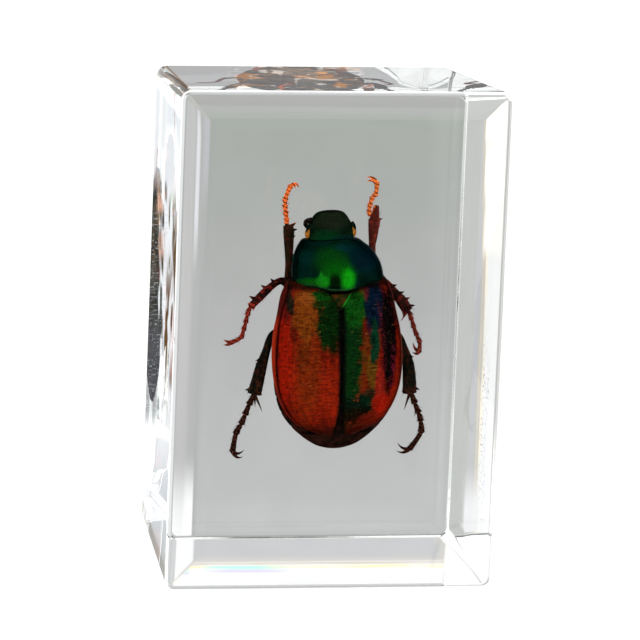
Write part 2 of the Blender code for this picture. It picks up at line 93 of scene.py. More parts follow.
class Finish:
    # a material and the node tree that makes it

    def __init__(self, name, tree=None):
        self.tree = tree
        if tree is None:
            self.material = bpy.data.materials.new(name)
            self.material.use_nodes = True
            self.tree = self.material.node_tree
            self.tree.nodes.clear()

    def node(self, kind, settings=None, values=None, output=0):
        made = self.tree.nodes.new(kind)
        for key, value in (settings or {}).items():
            if key == "stops":
                while len(made.color_ramp.elements) < len(value):
                    made.color_ramp.elements.new(1.0)
                for stop, (position, colour) in zip(made.color_ramp.elements, value):
                    stop.position, stop.color = position, (*colour, 1.0)
            else:
                setattr(made, key, value)
        for key, value in (values or {}).items():
            socket = made.inputs[key]
            if isinstance(value, Wire):
                self.tree.links.new(value.socket, socket)
            elif socket.type == "RGBA" and len(value) == 3:
                socket.default_value = (*value, 1.0)
            else:
                socket.default_value = value
        return Wire(self, made.outputs[output])

    def point(self):
        # the place on the piece, in millimetres of its own frame
        place = self.node("ShaderNodeTexCoord", output="Object")
        return self.node("ShaderNodeVectorMath", {"operation": "SCALE"}, {0: place, "Scale": 1 / mm})

    def parts(self, point):
        return [self.node("ShaderNodeSeparateXYZ", values={0: point}, output=k) for k in range(3)]

    def stretch(self, point, factors):
        return self.node("ShaderNodeVectorMath", {"operation": "MULTIPLY"}, {0: point, 1: factors})

    def cloud(self, point, scale, detail=3.0, roughness=0.55, distortion=0.0):
        values = {"Vector": point, "Scale": scale, "Detail": detail, "Roughness": roughness}
        values["Distortion"] = distortion
        return self.node("ShaderNodeTexNoise", values=values)

    def join(self, x, y, z):
        return self.node("ShaderNodeCombineXYZ", values={0: x, 1: y, 2: z})

    def grain(self, point, setting):
        # noise from a stretch along x, y and z and the settings of the cloud
        factors, *rest = setting
        return self.cloud(self.stretch(point, factors), *rest)

    def cells(self, point, scale):
        return self.node("ShaderNodeTexVoronoi", values={"Vector": point, "Scale": scale})

    def step(self, value, low, high):
        settings = {"interpolation_type": "SMOOTHSTEP"}
        return self.node("ShaderNodeMapRange", settings, {"Value": value, "From Min": low, "From Max": high})

    def blend(self, factor, first, second):
        return self.node("ShaderNodeMix", {"data_type": "RGBA"}, {0: factor, 6: first, 7: second}, 2)

    def bump(self, height, strength, distance):
        values = {"Height": height, "Strength": strength, "Distance": distance * mm}
        return self.node("ShaderNodeBump", values=values)

    def close(self, shader, volume=None):
        output = self.tree.nodes.new("ShaderNodeOutputMaterial")
        self.tree.links.new(shader.socket, output.inputs["Surface"])
        if volume:
            self.tree.links.new(volume.socket, output.inputs["Volume"])
        return self.material

    def closeShell(self, colour, roughness, metallic, bump):
        # the beetle's own surface, which mirrors only a little because it lies in the resin
        values = {
            "Base Color": colour,
            "Roughness": roughness,
            "Metallic": metallic,
            "Specular IOR Level": 0.0,
            "Specular Tint": (0.3, 0.3, 0.3),
            "Normal": self.bump(*bump),
        }
        return self.close(self.node("ShaderNodeBsdfPrincipled", values=values))


def clamp(value):
    return min(max(value, 0.0), 1.0)


def hump(*ways):
    # 1 at a centre and less around it, from the value, centre and half width along each way
    return math.exp(-sum(((value - centre) / half) ** 2 for value, centre, half in ways))


def neighbours(rows, k):
    # the ends of span k, with the row before and the row after it
    return rows[max(k - 1, 0)], rows[k], rows[k + 1], rows[min(k + 2, len(rows) - 1)]


def smoothShares(t):
    # what both ends of a span and their slopes add, t of the way along it
    return 2 * t**3 - 3 * t**2 + 1, t**3 - 2 * t**2 + t, 3 * t**2 - 2 * t**3, t**3 - t**2


def curveThrough(stations, y):
    # the rest of a station's numbers at y, on a smooth curve through the stations
    rows = sorted(stations)
    k = 0
    while k < len(rows) - 2 and y > rows[k + 1][0]:
        k += 1
    before, low, high, after = neighbours(rows, k)
    span = high[0] - low[0]
    shares = smoothShares(clamp((y - low[0]) / span))
    values = []
    for i in range(1, len(low)):
        slopeIn = (high[i] - before[i]) / (high[0] - before[0]) * span
        slopeOut = (after[i] - low[i]) / (after[0] - low[0]) * span
        values.append(sum(share * n for share, n in zip(shares, (low[i], slopeIn, high[i], slopeOut))))
    return values


def pathThrough(stations, perSpan):
    # points on a smooth curve through the stations, with any radii that they carry
    rows = [Vector(row) for row in stations]
    points = []
    for k in range(len(rows) - 1):
        before, low, high, after = neighbours(rows, k)
        ends = (low, (high - before) / 2, high, (after - low) / 2)
        for step in range(perSpan):
            shares = smoothShares(step / perSpan)
            points.append(sum((n * share for share, n in zip(shares, ends)), Vector([0.0] * len(low))))
    points.append(rows[-1])
    return points


def joinRings(builder, rings, closed=True):
    # a capped tube of closed rings, or a sheet of open rows
    loops = [[builder.verts.new(point) for point in ring] for ring in rings]
    count = len(loops[0])
    for near, far in zip(loops, loops[1:]):
        for i in range(count if closed else count - 1):
            j = (i + 1) % count
            builder.faces.new((near[i], near[j], far[j], far[i]))
    if closed:
        builder.faces.new(loops[0])
        builder.faces.new(loops[-1])


def addPiece(name, builder, material, replaced, onBeetle=True, sharp=40):
    # a finished mesh as a piece of the object, in place of its solids
    scale = mm if onBeetle else 1.0
    bmesh.ops.scale(builder, vec=(scale, scale, scale), verts=builder.verts)
    bmesh.ops.recalc_face_normals(builder, faces=builder.faces)
    mesh = bpy.data.meshes.new(name)
    builder.to_mesh(mesh)
    builder.free()
    mesh.shade_smooth()
    mesh.set_sharp_from_angle(angle=math.radians(sharp))
    mesh.materials.append(material)
    piece = bpy.data.objects.new(name, mesh)
    scene.collection.objects.link(piece)
    if onBeetle:
        piece.location = [value * mm for value in beetle["place"]]
        piece.rotation_euler = (0.0, 0.0, math.radians(beetle["yaw"]))
    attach(piece, "root")
    if replaced:
        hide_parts(*replaced)
    return piece


def thicken(piece, thickness):
    # a sheet gets its thickness downwards
    if sum(face.normal.z for face in piece.data.polygons) < 0:
        piece.data.flip_normals()
    shell = piece.modifiers.new("shell", "SOLIDIFY")
    shell.thickness = thickness * mm
    shell.offset = -1.0


camera = {
    "place": (-97.1, 104.0, 488.9),
    "target": (0.115, 0.0, 8.0),
    "roll": 2.32,
    "lens": 330.1,
    "clip": (0.01, 10.0),  # in metres
}


def makeCamera():
    data = bpy.data.cameras.new("camera")
    data.lens = camera["lens"]
    data.clip_start, data.clip_end = camera["clip"]
    item = bpy.data.objects.new("camera", data)
    scene.collection.objects.link(item)
    place, target = Vector(camera["place"]), Vector(camera["target"])
    back = (place - target).normalized()
    right = Vector((0.0, 1.0, 0.0)).cross(back).normalized()
    turn = Matrix((right, back.cross(right), back)).transposed()
    roll = Matrix.Rotation(math.radians(camera["roll"]), 3, "Z")
    item.matrix_world = Matrix.Translation(place * mm) @ (turn @ roll).to_4x4()
    scene.camera = item


makeCamera()
print("camera set")


studio = {
    "floorTone": (0.62, 0.62, 0.61),
    "floorRoughness": 0.9,
    "floorHalf": 600.0,
    "floorDrop": 0.05,
    # brightness all round, by the angle from straight down in degrees
    "surround": (
        (0.0, 0.46), (20.0, 0.47), (29.0, 0.52), (34.0, 0.62), (37.0, 1.0), (45.0, 1.1), (58.0, 1.7),
        (67.0, 2.0), (82.0, 0.75), (102.0, 0.75), (112.0, 2.0), (126.0, 2.0), (140.0, 1.7), (154.0, 0.7),
        (180.0, 0.5),
    ),
    "most": 2.2,
    # cards under the block: the x and y of their directions, half sizes, softness and brightness,
    # then how broken one is, or the two scales of the specks that it is made of
    # some cards are painted reflections: the dark column, brown lines and orange and white specks stand in
    # for the beetle's images mirrored in the walls, and thin coloured cards paint rainbow fringes along the
    # rims
    "cards": (
        ((0.2, -0.14), (0.12, 0.05), 0.5, (0.45, 0.475, 0.445)),
        ((0.128, -0.1), (0.025, 0.05), 0.5, (0.56, 0.53, 0.49)),
        ((0.125, -0.172), (0.026, 0.014), 0.4, (0.55, 0.55, 0.575)),
        ((-0.45, -0.5), (0.25, 0.15), 0.3, (1.7, 1.7, 1.7)),
        ((0.2, 0.85), (0.5, 0.17), 0.1, (0.75, 0.75, 0.75)),
        ((0.3, 0.48), (0.17, 0.115), 0.04, (0.63, 0.63, 0.64)),
        ((0.3, 0.59), (0.25, 0.018), 0.5, (0.73, 0.7, 0.66)),
        ((-0.48, -0.2), (0.092, 0.26), 0.03, (0.57, 0.58, 0.56)),
        ((-0.548, -0.215), (0.009, 0.025), 0.6, (0.57, 0.57, 0.62), 0.2),
        ((-0.567, -0.2), (0.002, 0.3), 0.6, (0.78, 0.68, 0.56), 0.3),
        ((-0.573, -0.2), (0.0018, 0.3), 0.6, (1.1, 1.0, 0.8), 0.5),
        ((-0.561, -0.175), (0.0018, 0.016), 0.5, (1.0, 1.0, 1.0), 40.0, 700.0),
        ((-0.577, -0.222), (0.005, 0.014), 0.5, (0.4, 0.28, 0.22), 350.0, 2500.0),
        ((-0.588, -0.226), (0.004, 0.014), 0.5, (0.4, 0.3, 0.55), 350.0, 2500.0),
        ((-0.54, -0.262), (0.036, 0.028), 0.15, (0.92, 0.92, 0.93)),
        ((-0.583, -0.163), (0.033, 0.014), 0.15, (1.15, 1.12, 1.05)),
        ((-0.585, -0.1815), (0.029, 0.0048), 0.3, (1.15, 1.12, 1.05)),
        ((-0.5888, -0.1895), (0.0253, 0.0055), 0.3, (1.15, 1.12, 1.05)),
        ((-0.547, -0.163), (0.004, 0.013), 0.5, (0.68, 0.6, 0.47)),
        ((-0.553, -0.1815), (0.0038, 0.005), 0.5, (0.7, 0.62, 0.49)),
        ((-0.5605, -0.1895), (0.003, 0.005), 0.5, (0.72, 0.64, 0.5)),
        ((0.2, 0.616), (0.5, 0.006), 0.5, (0.78, 0.7, 0.6), 0.3),
        ((0.2, 0.629), (0.5, 0.0035), 0.6, (1.05, 0.98, 0.62), 0.6),
        ((0.18, 0.631), (0.006, 0.004), 0.6, (0.6, 1.08, 0.98), 0.6),
        ((0.182, 0.638), (0.006, 0.003), 0.6, (0.85, 0.8, 1.15), 0.6),
        ((0.03, 0.52), (0.09, 0.08), 0.1, (1.0, 1.0, 1.0)),
        ((0.48, -0.2), (0.18, 0.3), 0.15, (0.82, 0.82, 0.83)),
        ((0.2, -0.5), (0.3, 0.1), 0.2, (0.68, 0.67, 0.69)),
        ((0.36, -0.43), (0.11, 0.06), 0.3, (0.2, 0.13, 0.08), 0.4),
        ((-0.2, -0.36), (0.2, 0.133), 0.05, (1.7, 1.7, 1.7)),
        ((-0.12, -0.2), (0.14, 0.3), 0.1, (0.77, 0.78, 0.74)),
        ((-0.086, -0.2), (0.012, 0.05), 0.3, (1.35, 1.41, 1.47)),
        ((-0.0865, -0.176), (0.004, 0.0115), 0.25, (0.95, 0.98, 1.03)),
        ((-0.0885, -0.2065), (0.0026, 0.0255), 0.2, (1.8, 1.86, 1.92)),
        ((-0.0873, -0.1812), (0.0011, 0.0048), 0.35, (1.65, 1.7, 1.76)),
        ((-0.0845, -0.2045), (0.0018, 0.0195), 0.15, (0.07, 0.075, 0.065)),
        ((-0.0859, -0.1885), (0.0003, 0.0016), 0.6, (1.2, 0.72, 0.55)),
        ((-0.0863, -0.196), (0.00035, 0.002), 0.6, (1.25, 0.82, 0.68)),
        ((-0.0895, -0.208), (0.0012, 0.017), 0.4, (0.3, 0.17, 0.07)),
        ((-0.0873, -0.2115), (0.0004, 0.0115), 0.5, (0.25, 0.14, 0.06)),
        ((-0.0881, -0.1945), (0.0003, 0.006), 0.5, (0.35, 0.28, 0.2)),
        ((-0.0845, -0.217), (0.0016, 0.0075), 0.3, (0.1, 0.1, 0.12)),
        ((-0.0845, -0.2065), (0.002, 0.0175), 0.25, (0.5, 0.54, 0.58), 2600.0, 3000.0),
        ((0.2, 0.065), (0.1, 0.07), 0.2, (0.35, 0.34, 0.34)),
        ((0.191, 0.073), (0.0115, 0.012), 0.3, (0.9, 0.52, 0.3), 130.0, 900.0),
        ((0.191, 0.073), (0.0105, 0.01), 0.3, (1.1, 1.0, 0.92), 260.0, 1300.0),
        ((0.1, 0.11), (0.062, 0.026), 0.3, (0.3, 0.19, 0.12), 0.4),
        ((0.09, 0.118), (0.05, 0.02), 0.4, (0.1, 0.08, 0.07), 60.0, 90.0),
        ((0.2, -0.055), (0.06, 0.022), 0.3, (0.41, 0.41, 0.4)),
        ((0.052, -0.29), (0.053, 0.055), 0.1, (1.1, 1.1, 1.1)),
        ((0.06, -0.195), (0.018, 0.04), 0.5, (0.54, 0.53, 0.53)),
        ((0.0855, -0.183), (0.0045, 0.013), 0.5, (0.8, 0.8, 0.83)),
    ),
    # cards above the horizon
    "highCards": (
        ((0.78, -0.178), (0.22, 0.012), 0.3, (0.95, 0.97, 1.0)),
        ((-0.8, -0.2), (0.2, 0.12), 0.2, (0.82, 0.83, 0.8)),
    ),
    # how far down or up a direction points where the cards begin and where they are full
    "below": (0.3, 0.5),
    "above": (0.1, 0.25),
    # the gaps in a broken card and the edges of specks
    "gaps": (70.0, 3.0, 0.7),
    "gapEdge": (0.52, 0.44),
    "speckEdge": (0.57, 0.63),
    # how much lighter the surround gets towards the bottom of the view, and where along -y, x and -z
    "lowTone": 0.13,
    "lowEdges": ((0.175, 0.25), (0.1, 0.17), (0.9, 0.94)),
    # faint cloudiness all round
    "clouds": (110.0, 3.0, 0.6),
    "cloudTone": 0.12,
    # the dark place in the ceiling that the front face mirrors to the camera
    "darkWay": (0.2, -0.205),
    "darkHalf": (0.1, 0.11),
    "darkSoft": 0.4,
    "ceiling": (0.6, 0.5),
    "sunTilt": 38.0,
    "sunSpread": 20.0,
    "sun": 1.2,
    "sunCount": 4,
}


def makeFloor():
    builder = bmesh.new()
    bmesh.ops.create_grid(builder, x_segments=1, y_segments=1, size=studio["floorHalf"] * mm)
    mesh = bpy.data.meshes.new("floor")
    builder.to_mesh(mesh)
    builder.free()
    floor = bpy.data.objects.new("floor", mesh)
    floor.location.z = -studio["floorDrop"] * mm
    scene.collection.objects.link(floor)
    paper = Finish("paper")
    values = {
        "Base Color": studio["floorTone"],
        "Roughness": studio["floorRoughness"],
        "Specular IOR Level": 0.0,
    }
    mesh.materials.append(paper.close(paper.node("ShaderNodeBsdfPrincipled", values=values)))
    # the resin shows the grey surround through itself, not the lit paper
    floor.visible_glossy = False
    floor.visible_transmission = False


def makeSurround():
    world = bpy.data.worlds.new("studio")
    scene.world = world
    world.use_nodes = True
    background = world.node_tree.nodes["Background"]
    sky = Finish("surround", world.node_tree)
    way = sky.node("ShaderNodeTexCoord", output="Generated")
    x, y, z = sky.parts(way)
    most = studio["most"]
    stops = [(degrees / 180, (tone / most,) * 3) for degrees, tone in studio["surround"]]
    angle = (-z).math("ARCCOSINE") / math.pi
    colour = sky.node("ShaderNodeValToRGB", {"stops": stops}, {0: angle})
    below = sky.step(-z, *studio["below"])
    above = sky.step(z, *studio["above"])
    gaps = sky.step(sky.cloud(way, *studio["gaps"]), *studio["gapEdge"])

    def card(centre, half, soft):
        across = 1 - sky.step(abs(x - centre[0]) / half[0], 1 - soft, 1 + soft)
        return across * (1 - sky.step(abs(y - centre[1]) / half[1], 1 - soft, 1 + soft))

    for cards, where in ((studio["highCards"], above), (studio["cards"], below)):
        for centre, half, soft, tone, *broken in cards:
            mask = card(centre, half, soft) * where
            if len(broken) == 2:
                specks = sky.cloud(sky.stretch(way, (*broken, 0.0)), 1.0, 2.0)
                mask = mask * sky.step(specks, *studio["speckEdge"])
            elif broken:
                mask = mask * (1 - gaps * broken[0])
            colour = sky.blend(mask, colour, [value / most for value in tone])

    # the dark place overhead, the lighter low end and the clouds change its strength
    awayX = (x - studio["darkWay"][0]) / studio["darkHalf"][0]
    awayY = (y - studio["darkWay"][1]) / studio["darkHalf"][1]
    away = (awayX * awayX + awayY * awayY) ** 0.5
    lit = sky.step(away, 1 - studio["darkSoft"], 1 + studio["darkSoft"])
    lit = lit.larger(sky.step(z, *studio["ceiling"]))
    lowY, lowX, lowZ = studio["lowEdges"]
    low = sky.step(-y, *lowY) * sky.step(x, *lowX) * sky.step(-z, *lowZ)
    low = low * studio["lowTone"] / studio["surround"][0][1]
    clouds = (sky.cloud(way, *studio["clouds"]) - 0.5) * studio["cloudTone"] + 1
    strength = (low + 1) * lit * clouds * most
    for key, value in {"Color": colour, "Strength": strength}.items():
        sky.tree.links.new(value.socket, background.inputs[key])


def makeLamps():
    for k in range(studio["sunCount"]):
        light = bpy.data.lights.new("overhead", "SUN")
        light.energy = studio["sun"]
        light.angle = math.radians(studio["sunSpread"])
        light.cycles.use_multiple_importance_sampling = False
        lamp = bpy.data.objects.new("overhead", light)
        turn = 2 * math.pi * (k + 0.5) / studio["sunCount"]
        lamp.rotation_euler = (math.radians(studio["sunTilt"]), 0.0, turn)
        scene.collection.objects.link(lamp)


scene.view_settings.view_transform = "Standard"
scene.cycles.max_bounces = 32
scene.cycles.glossy_bounces = 24
scene.cycles.transmission_bounces = 24
makeFloor()
makeSurround()
makeLamps()
print("studio set")


block = {
    "front": (-14.1, 14.1, -21.42, 21.42),  # left, right, bottom and top edge of the widest outline
    "back": (-13.39, 12.52, -19.6, 20.6),
    "depth": 17.0,
    "uprightRadius": 0.85,
    "leastRadius": 0.2,
    "backRadius": 0.17,
    "frontRadius": 0.4,
    # the front sinks a little inside a raised rim: distance in from the edge, depth below the rim
    "rim": ((0.9, 0.115), (1.45, 0.215), (2.0, 0.3), (2.45, 0.36)),
    "creaseHalf": 0.1,
    # rows of the mesh: round a corner, along the short and long sides, round the edges, up the walls
    "arcSteps": 10,
    "sideSteps": (14, 20),
    "backSteps": 6,
    "frontSteps": 8,
    "wallSteps": 8,
    # extra rows close to the rounded edges and further in on the flats keep the shading even
    "support": 0.04,
    "flatInset": 1.0,
    "ior": 1.52,
    "tint": (0.6, 0.8, 0.74),
    "tintDensity": 4.0,
    # the cast faces are a little wavy
    "waveScale": 0.22,
    "waveHeight": 0.002,
}


def roundedRectangle(sides, radius, z):
    # a ring of points, counterclockwise from the right end of the top right corner
    left, right, bottom, top = sides
    centres = (
        Vector((right - radius, top - radius)),
        Vector((left + radius, top - radius)),
        Vector((left + radius, bottom + radius)),
        Vector((right - radius, bottom + radius)),
    )

    def onArc(centre, quarters):
        turn = math.pi / 2 * quarters
        return Vector((centre.x + radius * math.cos(turn), centre.y + radius * math.sin(turn), z))

    ring = []
    arcSteps = block["arcSteps"]
    for k, centre in enumerate(centres):
        ring += [onArc(centre, k + step / arcSteps) for step in range(arcSteps + 1)]
        start, end = ring[-1], onArc(centres[(k + 1) % 4], k + 1)
        steps = block["sideSteps"][k % 2]
        ring += [start.lerp(end, i / steps) for i in range(1, steps)]
    return ring


def makeBlock():
    depth, small, flatInset = block["depth"], block["support"], block["flatInset"]
    backRadius, frontRadius = block["backRadius"], block["frontRadius"]
    low, high = backRadius, depth - frontRadius

    def ring(z, taken, wallZ=None):
        # the outline at height wallZ on the drafted walls, drawn in by taken and set at z
        along = (z if wallZ is None else wallZ) / depth
        inward = (1, -1, 1, -1)
        sides = [b + (f - b) * along + taken * s for f, b, s in zip(block["front"], block["back"], inward)]
        return roundedRectangle(sides, max(block["uprightRadius"] - taken, block["leastRadius"]), z)

    rings = [ring(0.0, backRadius + flatInset), ring(0.0, backRadius + small)]
    for step in range(block["backSteps"] + 1):
        turn = math.pi / 2 * step / block["backSteps"]
        rings.append(ring(backRadius * (1 - math.cos(turn)), backRadius * (1 - math.sin(turn))))
    rings.append(ring(low + small, 0.0))
    wallSteps = block["wallSteps"]
    rings += [ring(low + (high - low) * k / wallSteps, 0.0) for k in range(1, wallSteps)]
    rings.append(ring(high - small, 0.0))
    for step in range(block["frontSteps"] + 1):
        turn = math.pi / 2 * step / block["frontSteps"]
        rings.append(ring(high + frontRadius * math.sin(turn), frontRadius * (1 - math.cos(turn)), high))

    # the front face from the raised rim to the sunk middle
    rim, crease = block["rim"], block["creaseHalf"]
    slope = rim[0][1] / (rim[0][0] - frontRadius)
    rings.append(ring(depth - slope * small, frontRadius + small, high))
    rings += [ring(depth - drop, inset, high) for inset, drop in rim[:-1]]
    (near, nearDrop), (far, drop) = rim[-2:]
    slope = (drop - nearDrop) / (far - near)
    rings.append(ring(depth - drop + slope * crease, far - crease, high))
    rings.append(ring(depth - drop, far + crease, high))
    rings.append(ring(depth - drop, far + flatInset, high))

    builder = bmesh.new()
    joinRings(builder, [[point * mm for point in one] for one in rings])

    resin = Finish("clear resin")
    wave = resin.cloud(resin.point(), block["waveScale"], 1.0)
    values = {
        "Base Color": (1.0, 1.0, 1.0),
        "Roughness": 0.0,
        "IOR": block["ior"],
        "Transmission Weight": 1.0,
        "Normal": resin.bump(wave, 1.0, block["waveHeight"]),
    }
    surface = resin.node("ShaderNodeBsdfPrincipled", values=values)
    values = {"Color": block["tint"], "Density": block["tintDensity"]}
    material = resin.close(surface, resin.node("ShaderNodeVolumeAbsorption", values=values))
    addPiece("resin_block", builder, material, ["resin_back", "resin_front"], False)


makeBlock()
print("block made")


wingCase = {
    # y, half width at the rim, height of the crown over the rim
    "stations": (
        (4.85, 3.95, 2.7), (4.2, 4.4, 3.05), (3.3, 4.8, 3.45), (1.7, 5.12, 3.95), (0.0, 5.48, 4.2),
        (-2.2, 5.62, 4.2), (-4.7, 5.36, 3.85), (-6.5, 4.75, 3.1), (-7.7, 3.9, 2.3), (-8.5, 2.8, 1.6),
        (-9.0, 1.5, 1.15),
    ),
    "steps": (120, 170),  # of the mesh, across and along
    "crowding": 1.15,  # of the rows towards the front
    "fullness": (0.9, 0.8),  # of a section, sideways and upwards
    "thickness": 0.25,
    "baseDip": 0.9,
    # for the scutellum: half width, and y of its front and its tip
    "notch": (1.0, 3.65, 2.35),
    "suture": 0.04,
    # how far the cases part behind, and how much the right one swells, from where and over what length
    "parting": (0.32, 5.5, 3.5),
    "swell": {-1: 0.0, 1: 0.018},
    "swellWay": (1.5, 2.5),
    # a shoulder knob and one near the tip: height, then place and half size in x and in y
    "knobs": ((0.18, (3.9, 0.6), (3.2, 0.8)), (0.12, (3.1, 0.7), (-6.9, 0.7))),
    # a groove that sets off the bead along the rim and along the suture: depth, place, half width
    "beads": ((0.06, 0.94, 0.02), (0.05, 0.05, 0.018)),
    # fine grooves: number, depth, and how fast they fade at the base, the tip and the rim
    "grooves": 10,
    "grooveDepth": 0.035,
    "grooveFades": (12, 8, 6),
    # the outline that the colours follow: -y and half width where it is widest, length behind that,
    # bluntness of the tip and taper to the front
    "outline": (2.2, 5.62, 7.0, 2.5, 0.03),
    # noise: stretch along x, y and z, scale, detail, roughness, distortion
    "wrinkle": ((0.8, 3.2, 0.6), 2.0, 4.0, 0.62, 0.6),
    "fine": ((1.6, 4.0, 1.2), 2.6, 2.0, 0.6, 0.8),
    "tear": ((1.2, 0.8, 1.2), 1.6, 5.0, 0.65),
    "dots": ((3.0, 2.2, 1.0), 3.0, 1.0),
    # streaks and hairlines run along the case: stretch across and along, shift from case to case
    "flow": (9.0, 0.12, 3.0),
    "streak": (1.5, 4.0, 0.65),
    "hairline": (6.0, 2.0, 0.5),
    # rows of punctures: stretch across and along, how much wrinkles bend them, shift
    "punctures": (21.0, 3.3, 1.5, 5.0),
    "tearing": (2.6, 1.6, 0.9),  # of the patches, by tear, streak and wrinkle
    "wrinkleDepth": 0.3,
    "roughness": (0.34, 0.16),  # and what wrinkles add
    "metallic": 0.45,
    # the neck shield's hind edge over the cases: square of its half width, and its reach
    "shieldEdge": (5.3, 0.5),
    "deepRed": (0.11, 0.006, 0.0015),
    "warmRed": (0.27, 0.014, 0.003),
    # painted shade for the hollows between wrinkles, the punctures and between the belly's hairs
    "hollowShade": (0.002, 0.001, 0.001),
    # the painted shadow of the neck shield's edge on the cases
    "base": (0.005, 0.003, 0.002),
    "glint": (0.5, 0.32, 0.08),
    "tip": (0.03, 0.0045, 0.002),
    # painted shade in the groove inside the rim
    "rimGrooveShade": (0.004, 0.002, 0.002),
    "seam": (0.002, 0.003, 0.002),
    # the rim's own red, lightened by a painted highlight on the raised bead
    "rimHighlightTone": {-1: (0.4, 0.032, 0.008), 1: (0.32, 0.075, 0.04)},
    "rimFront": (0.07, 0.008, 0.005),
    "rimThread": (0.12, 0.008, 0.004),
    # where the rim's painted highlight fades out towards the tip, and on the right one also down the flank
    "rimFade": {-1: (-5.6, -4.0), 1: (-7.6, -5.0)},
    "rimFoot": (0.5, 1.05),
    # dotted pink lines on the right one: place and soft edge across, where they fade in along y and
    # out along -y, strength, tone
    "pinkLines": (
        (3.95, (0.1, 0.32), (-5.2, -4.4), (-3.4, -2.6), 0.6, (0.16, 0.01, 0.02)),
        (4.85, (0.1, 0.3), (-5.0, -4.6), (0.6, 1.6), 1.0, (0.17, 0.008, 0.035)),
    ),
    # colour patches: centre, half size, how torn, strength, softness, tone
    "patches": {
        -1: (
            ((-2.2, -4.6), (2.3, 2.2), 0.5, 0.5, 0.7, (0.34, 0.02, 0.004)),
            ((-2.9, -2.0), (1.0, 5.4), 0.8, 0.5, 0.7, (0.13, 0.028, 0.003)),
            ((-3.0, 1.9), (1.25, 2.3), 1.0, 1.0, 0.4, (0.19, 0.04, 0.004)),
            ((-4.75, -1.6), (0.5, 4.6), 0.3, 1.0, 0.6, (0.35, 0.012, 0.003)),
            ((-4.5, 2.9), (0.55, 1.7), 0.5, 0.8, 0.7, (0.085, 0.005, 0.006)),
            ((-4.05, 0.2), (0.26, 0.8), 0.7, 0.75, 0.7, (0.05, 0.004, 0.003)),
            ((-4.2, 2.7), (0.26, 0.95), 1.1, 0.9, 0.6, (0.003, 0.015, 0.008)),
            ((-0.9, 1.15), (1.25, 2.3), 1.0, 1.0, 0.4, (0.002, 0.02, 0.0025)),
            ((-0.45, -0.7), (0.6, 0.9), 0.6, 0.85, 0.6, (0.003, 0.009, 0.0015)),
            ((-1.9, 2.9), (0.7, 0.5), 1.2, 0.9, 0.5, (0.002, 0.03, 0.003)),
            ((-1.6, 3.5), (1.3, 0.42), 0.4, 1.0, 0.3, (0.003, 0.06, 0.004)),
            ((-3.0, 3.3), (0.8, 0.6), 0.6, 0.8, 0.5, (0.26, 0.06, 0.008)),
        ),
        1: (
            ((0.75, -2.0), (1.0, 6.0), 0.9, 1.0, 0.4, (0.0022, 0.026, 0.004)),
            ((2.1, -1.7), (0.4, 1.7), 1.2, 0.6, 0.5, (0.12, 0.03, 0.003)),
            ((2.0, -4.3), (0.5, 1.4), 1.2, 0.6, 0.6, (0.15, 0.018, 0.003)),
            ((2.65, -3.2), (0.5, 1.5), 0.9, 1.0, 0.5, (0.12, 0.048, 0.004)),
            ((1.1, 2.5), (1.15, 1.7), 0.7, 1.0, 0.5, (0.003, 0.06, 0.004)),
            ((2.9, 2.5), (0.85, 2.6), 0.7, 1.0, 0.5, (0.0012, 0.009, 0.024)),
            ((2.85, -0.7), (0.42, 1.9), 0.8, 1.0, 0.5, (0.002, 0.034, 0.014)),
            ((1.5, -6.2), (1.5, 0.95), 1.3, 1.0, 0.6, (0.0015, 0.012, 0.005)),
            ((2.3, -5.4), (0.6, 0.7), 1.2, 0.8, 0.6, (0.002, 0.016, 0.006)),
            ((4.2, -0.5), (0.7, 4.9), 0.8, 1.0, 0.5, (0.004, 0.0025, 0.003)),
            ((3.3, -4.2), (0.35, 1.5), 1.3, 1.0, 0.5, (0.3, 0.018, 0.008)),
            ((3.45, -6.1), (0.75, 0.9), 0.5, 0.9, 0.6, (0.36, 0.012, 0.004)),
            ((1.0, -7.1), (1.5, 0.75), 0.7, 0.85, 0.6, (0.006, 0.004, 0.0012)),
            ((2.5, -7.5), (0.9, 0.5), 0.5, 0.7, 0.6, (0.16, 0.009, 0.003)),
        ),
    },
}


def caseInnerX(y):
    half, front, tip = wingCase["notch"]
    apart, start, length = wingCase["parting"]
    parting = apart * clamp((-y - start) / length) ** 2
    return wingCase["suture"] + (half - wingCase["suture"]) * clamp((y - tip) / (front - tip)) + parting


def casePoint(side, across, along):
    stations = wingCase["stations"]
    front, tip = stations[0][0], stations[-1][0]
    rowY = front + (tip - front) * along
    width, crown = curveThrough(stations, rowY)
    y = rowY - wingCase["baseDip"] * (1.0 - across) * (1.0 - along) ** 6
    inner = caseInnerX(y)
    turn = across * math.pi / 2
    sideways, upwards = wingCase["fullness"]
    x = inner + (width - inner) * math.sin(turn) ** sideways
    z = crown * max(math.cos(turn), 0.0) ** upwards
    wave = math.cos(2 * math.pi * across * wingCase["grooves"])
    baseFade, tipFade, rimFade = wingCase["grooveFades"]
    fade = min(along * baseFade, 1.0) * min((1.0 - along) * tipFade, 1.0) * min((1.0 - across) * rimFade, 1.0)
    z -= wingCase["grooveDepth"] * max(wave, 0.0) ** 3 * fade
    for height, placeX, placeY in wingCase["knobs"]:
        z += height * hump((x, *placeX), (y, *placeY))
    for depth, place, half in wingCase["beads"]:
        z -= depth * hump((across, place, half))
    start, length = wingCase["swellWay"]
    x *= 1.0 + wingCase["swell"][side] * clamp((-y - start) / length)
    return Vector((side * x, y, z))


def patch(finish, x, y, centre, size, jag, softness):
    # a soft oval mask with a torn edge
    away = ((x - centre[0]) / size[0]) ** 2 + ((y - centre[1]) / size[1]) ** 2
    return 1 - finish.step(away + jag, 1 - softness, 1 + softness)


def fromShield(x, y):
    # y, counted from the curved hind edge of the neck shield
    squared, reach = wingCase["shieldEdge"]
    return y + (1 - x * x / squared).larger(0.0) * reach


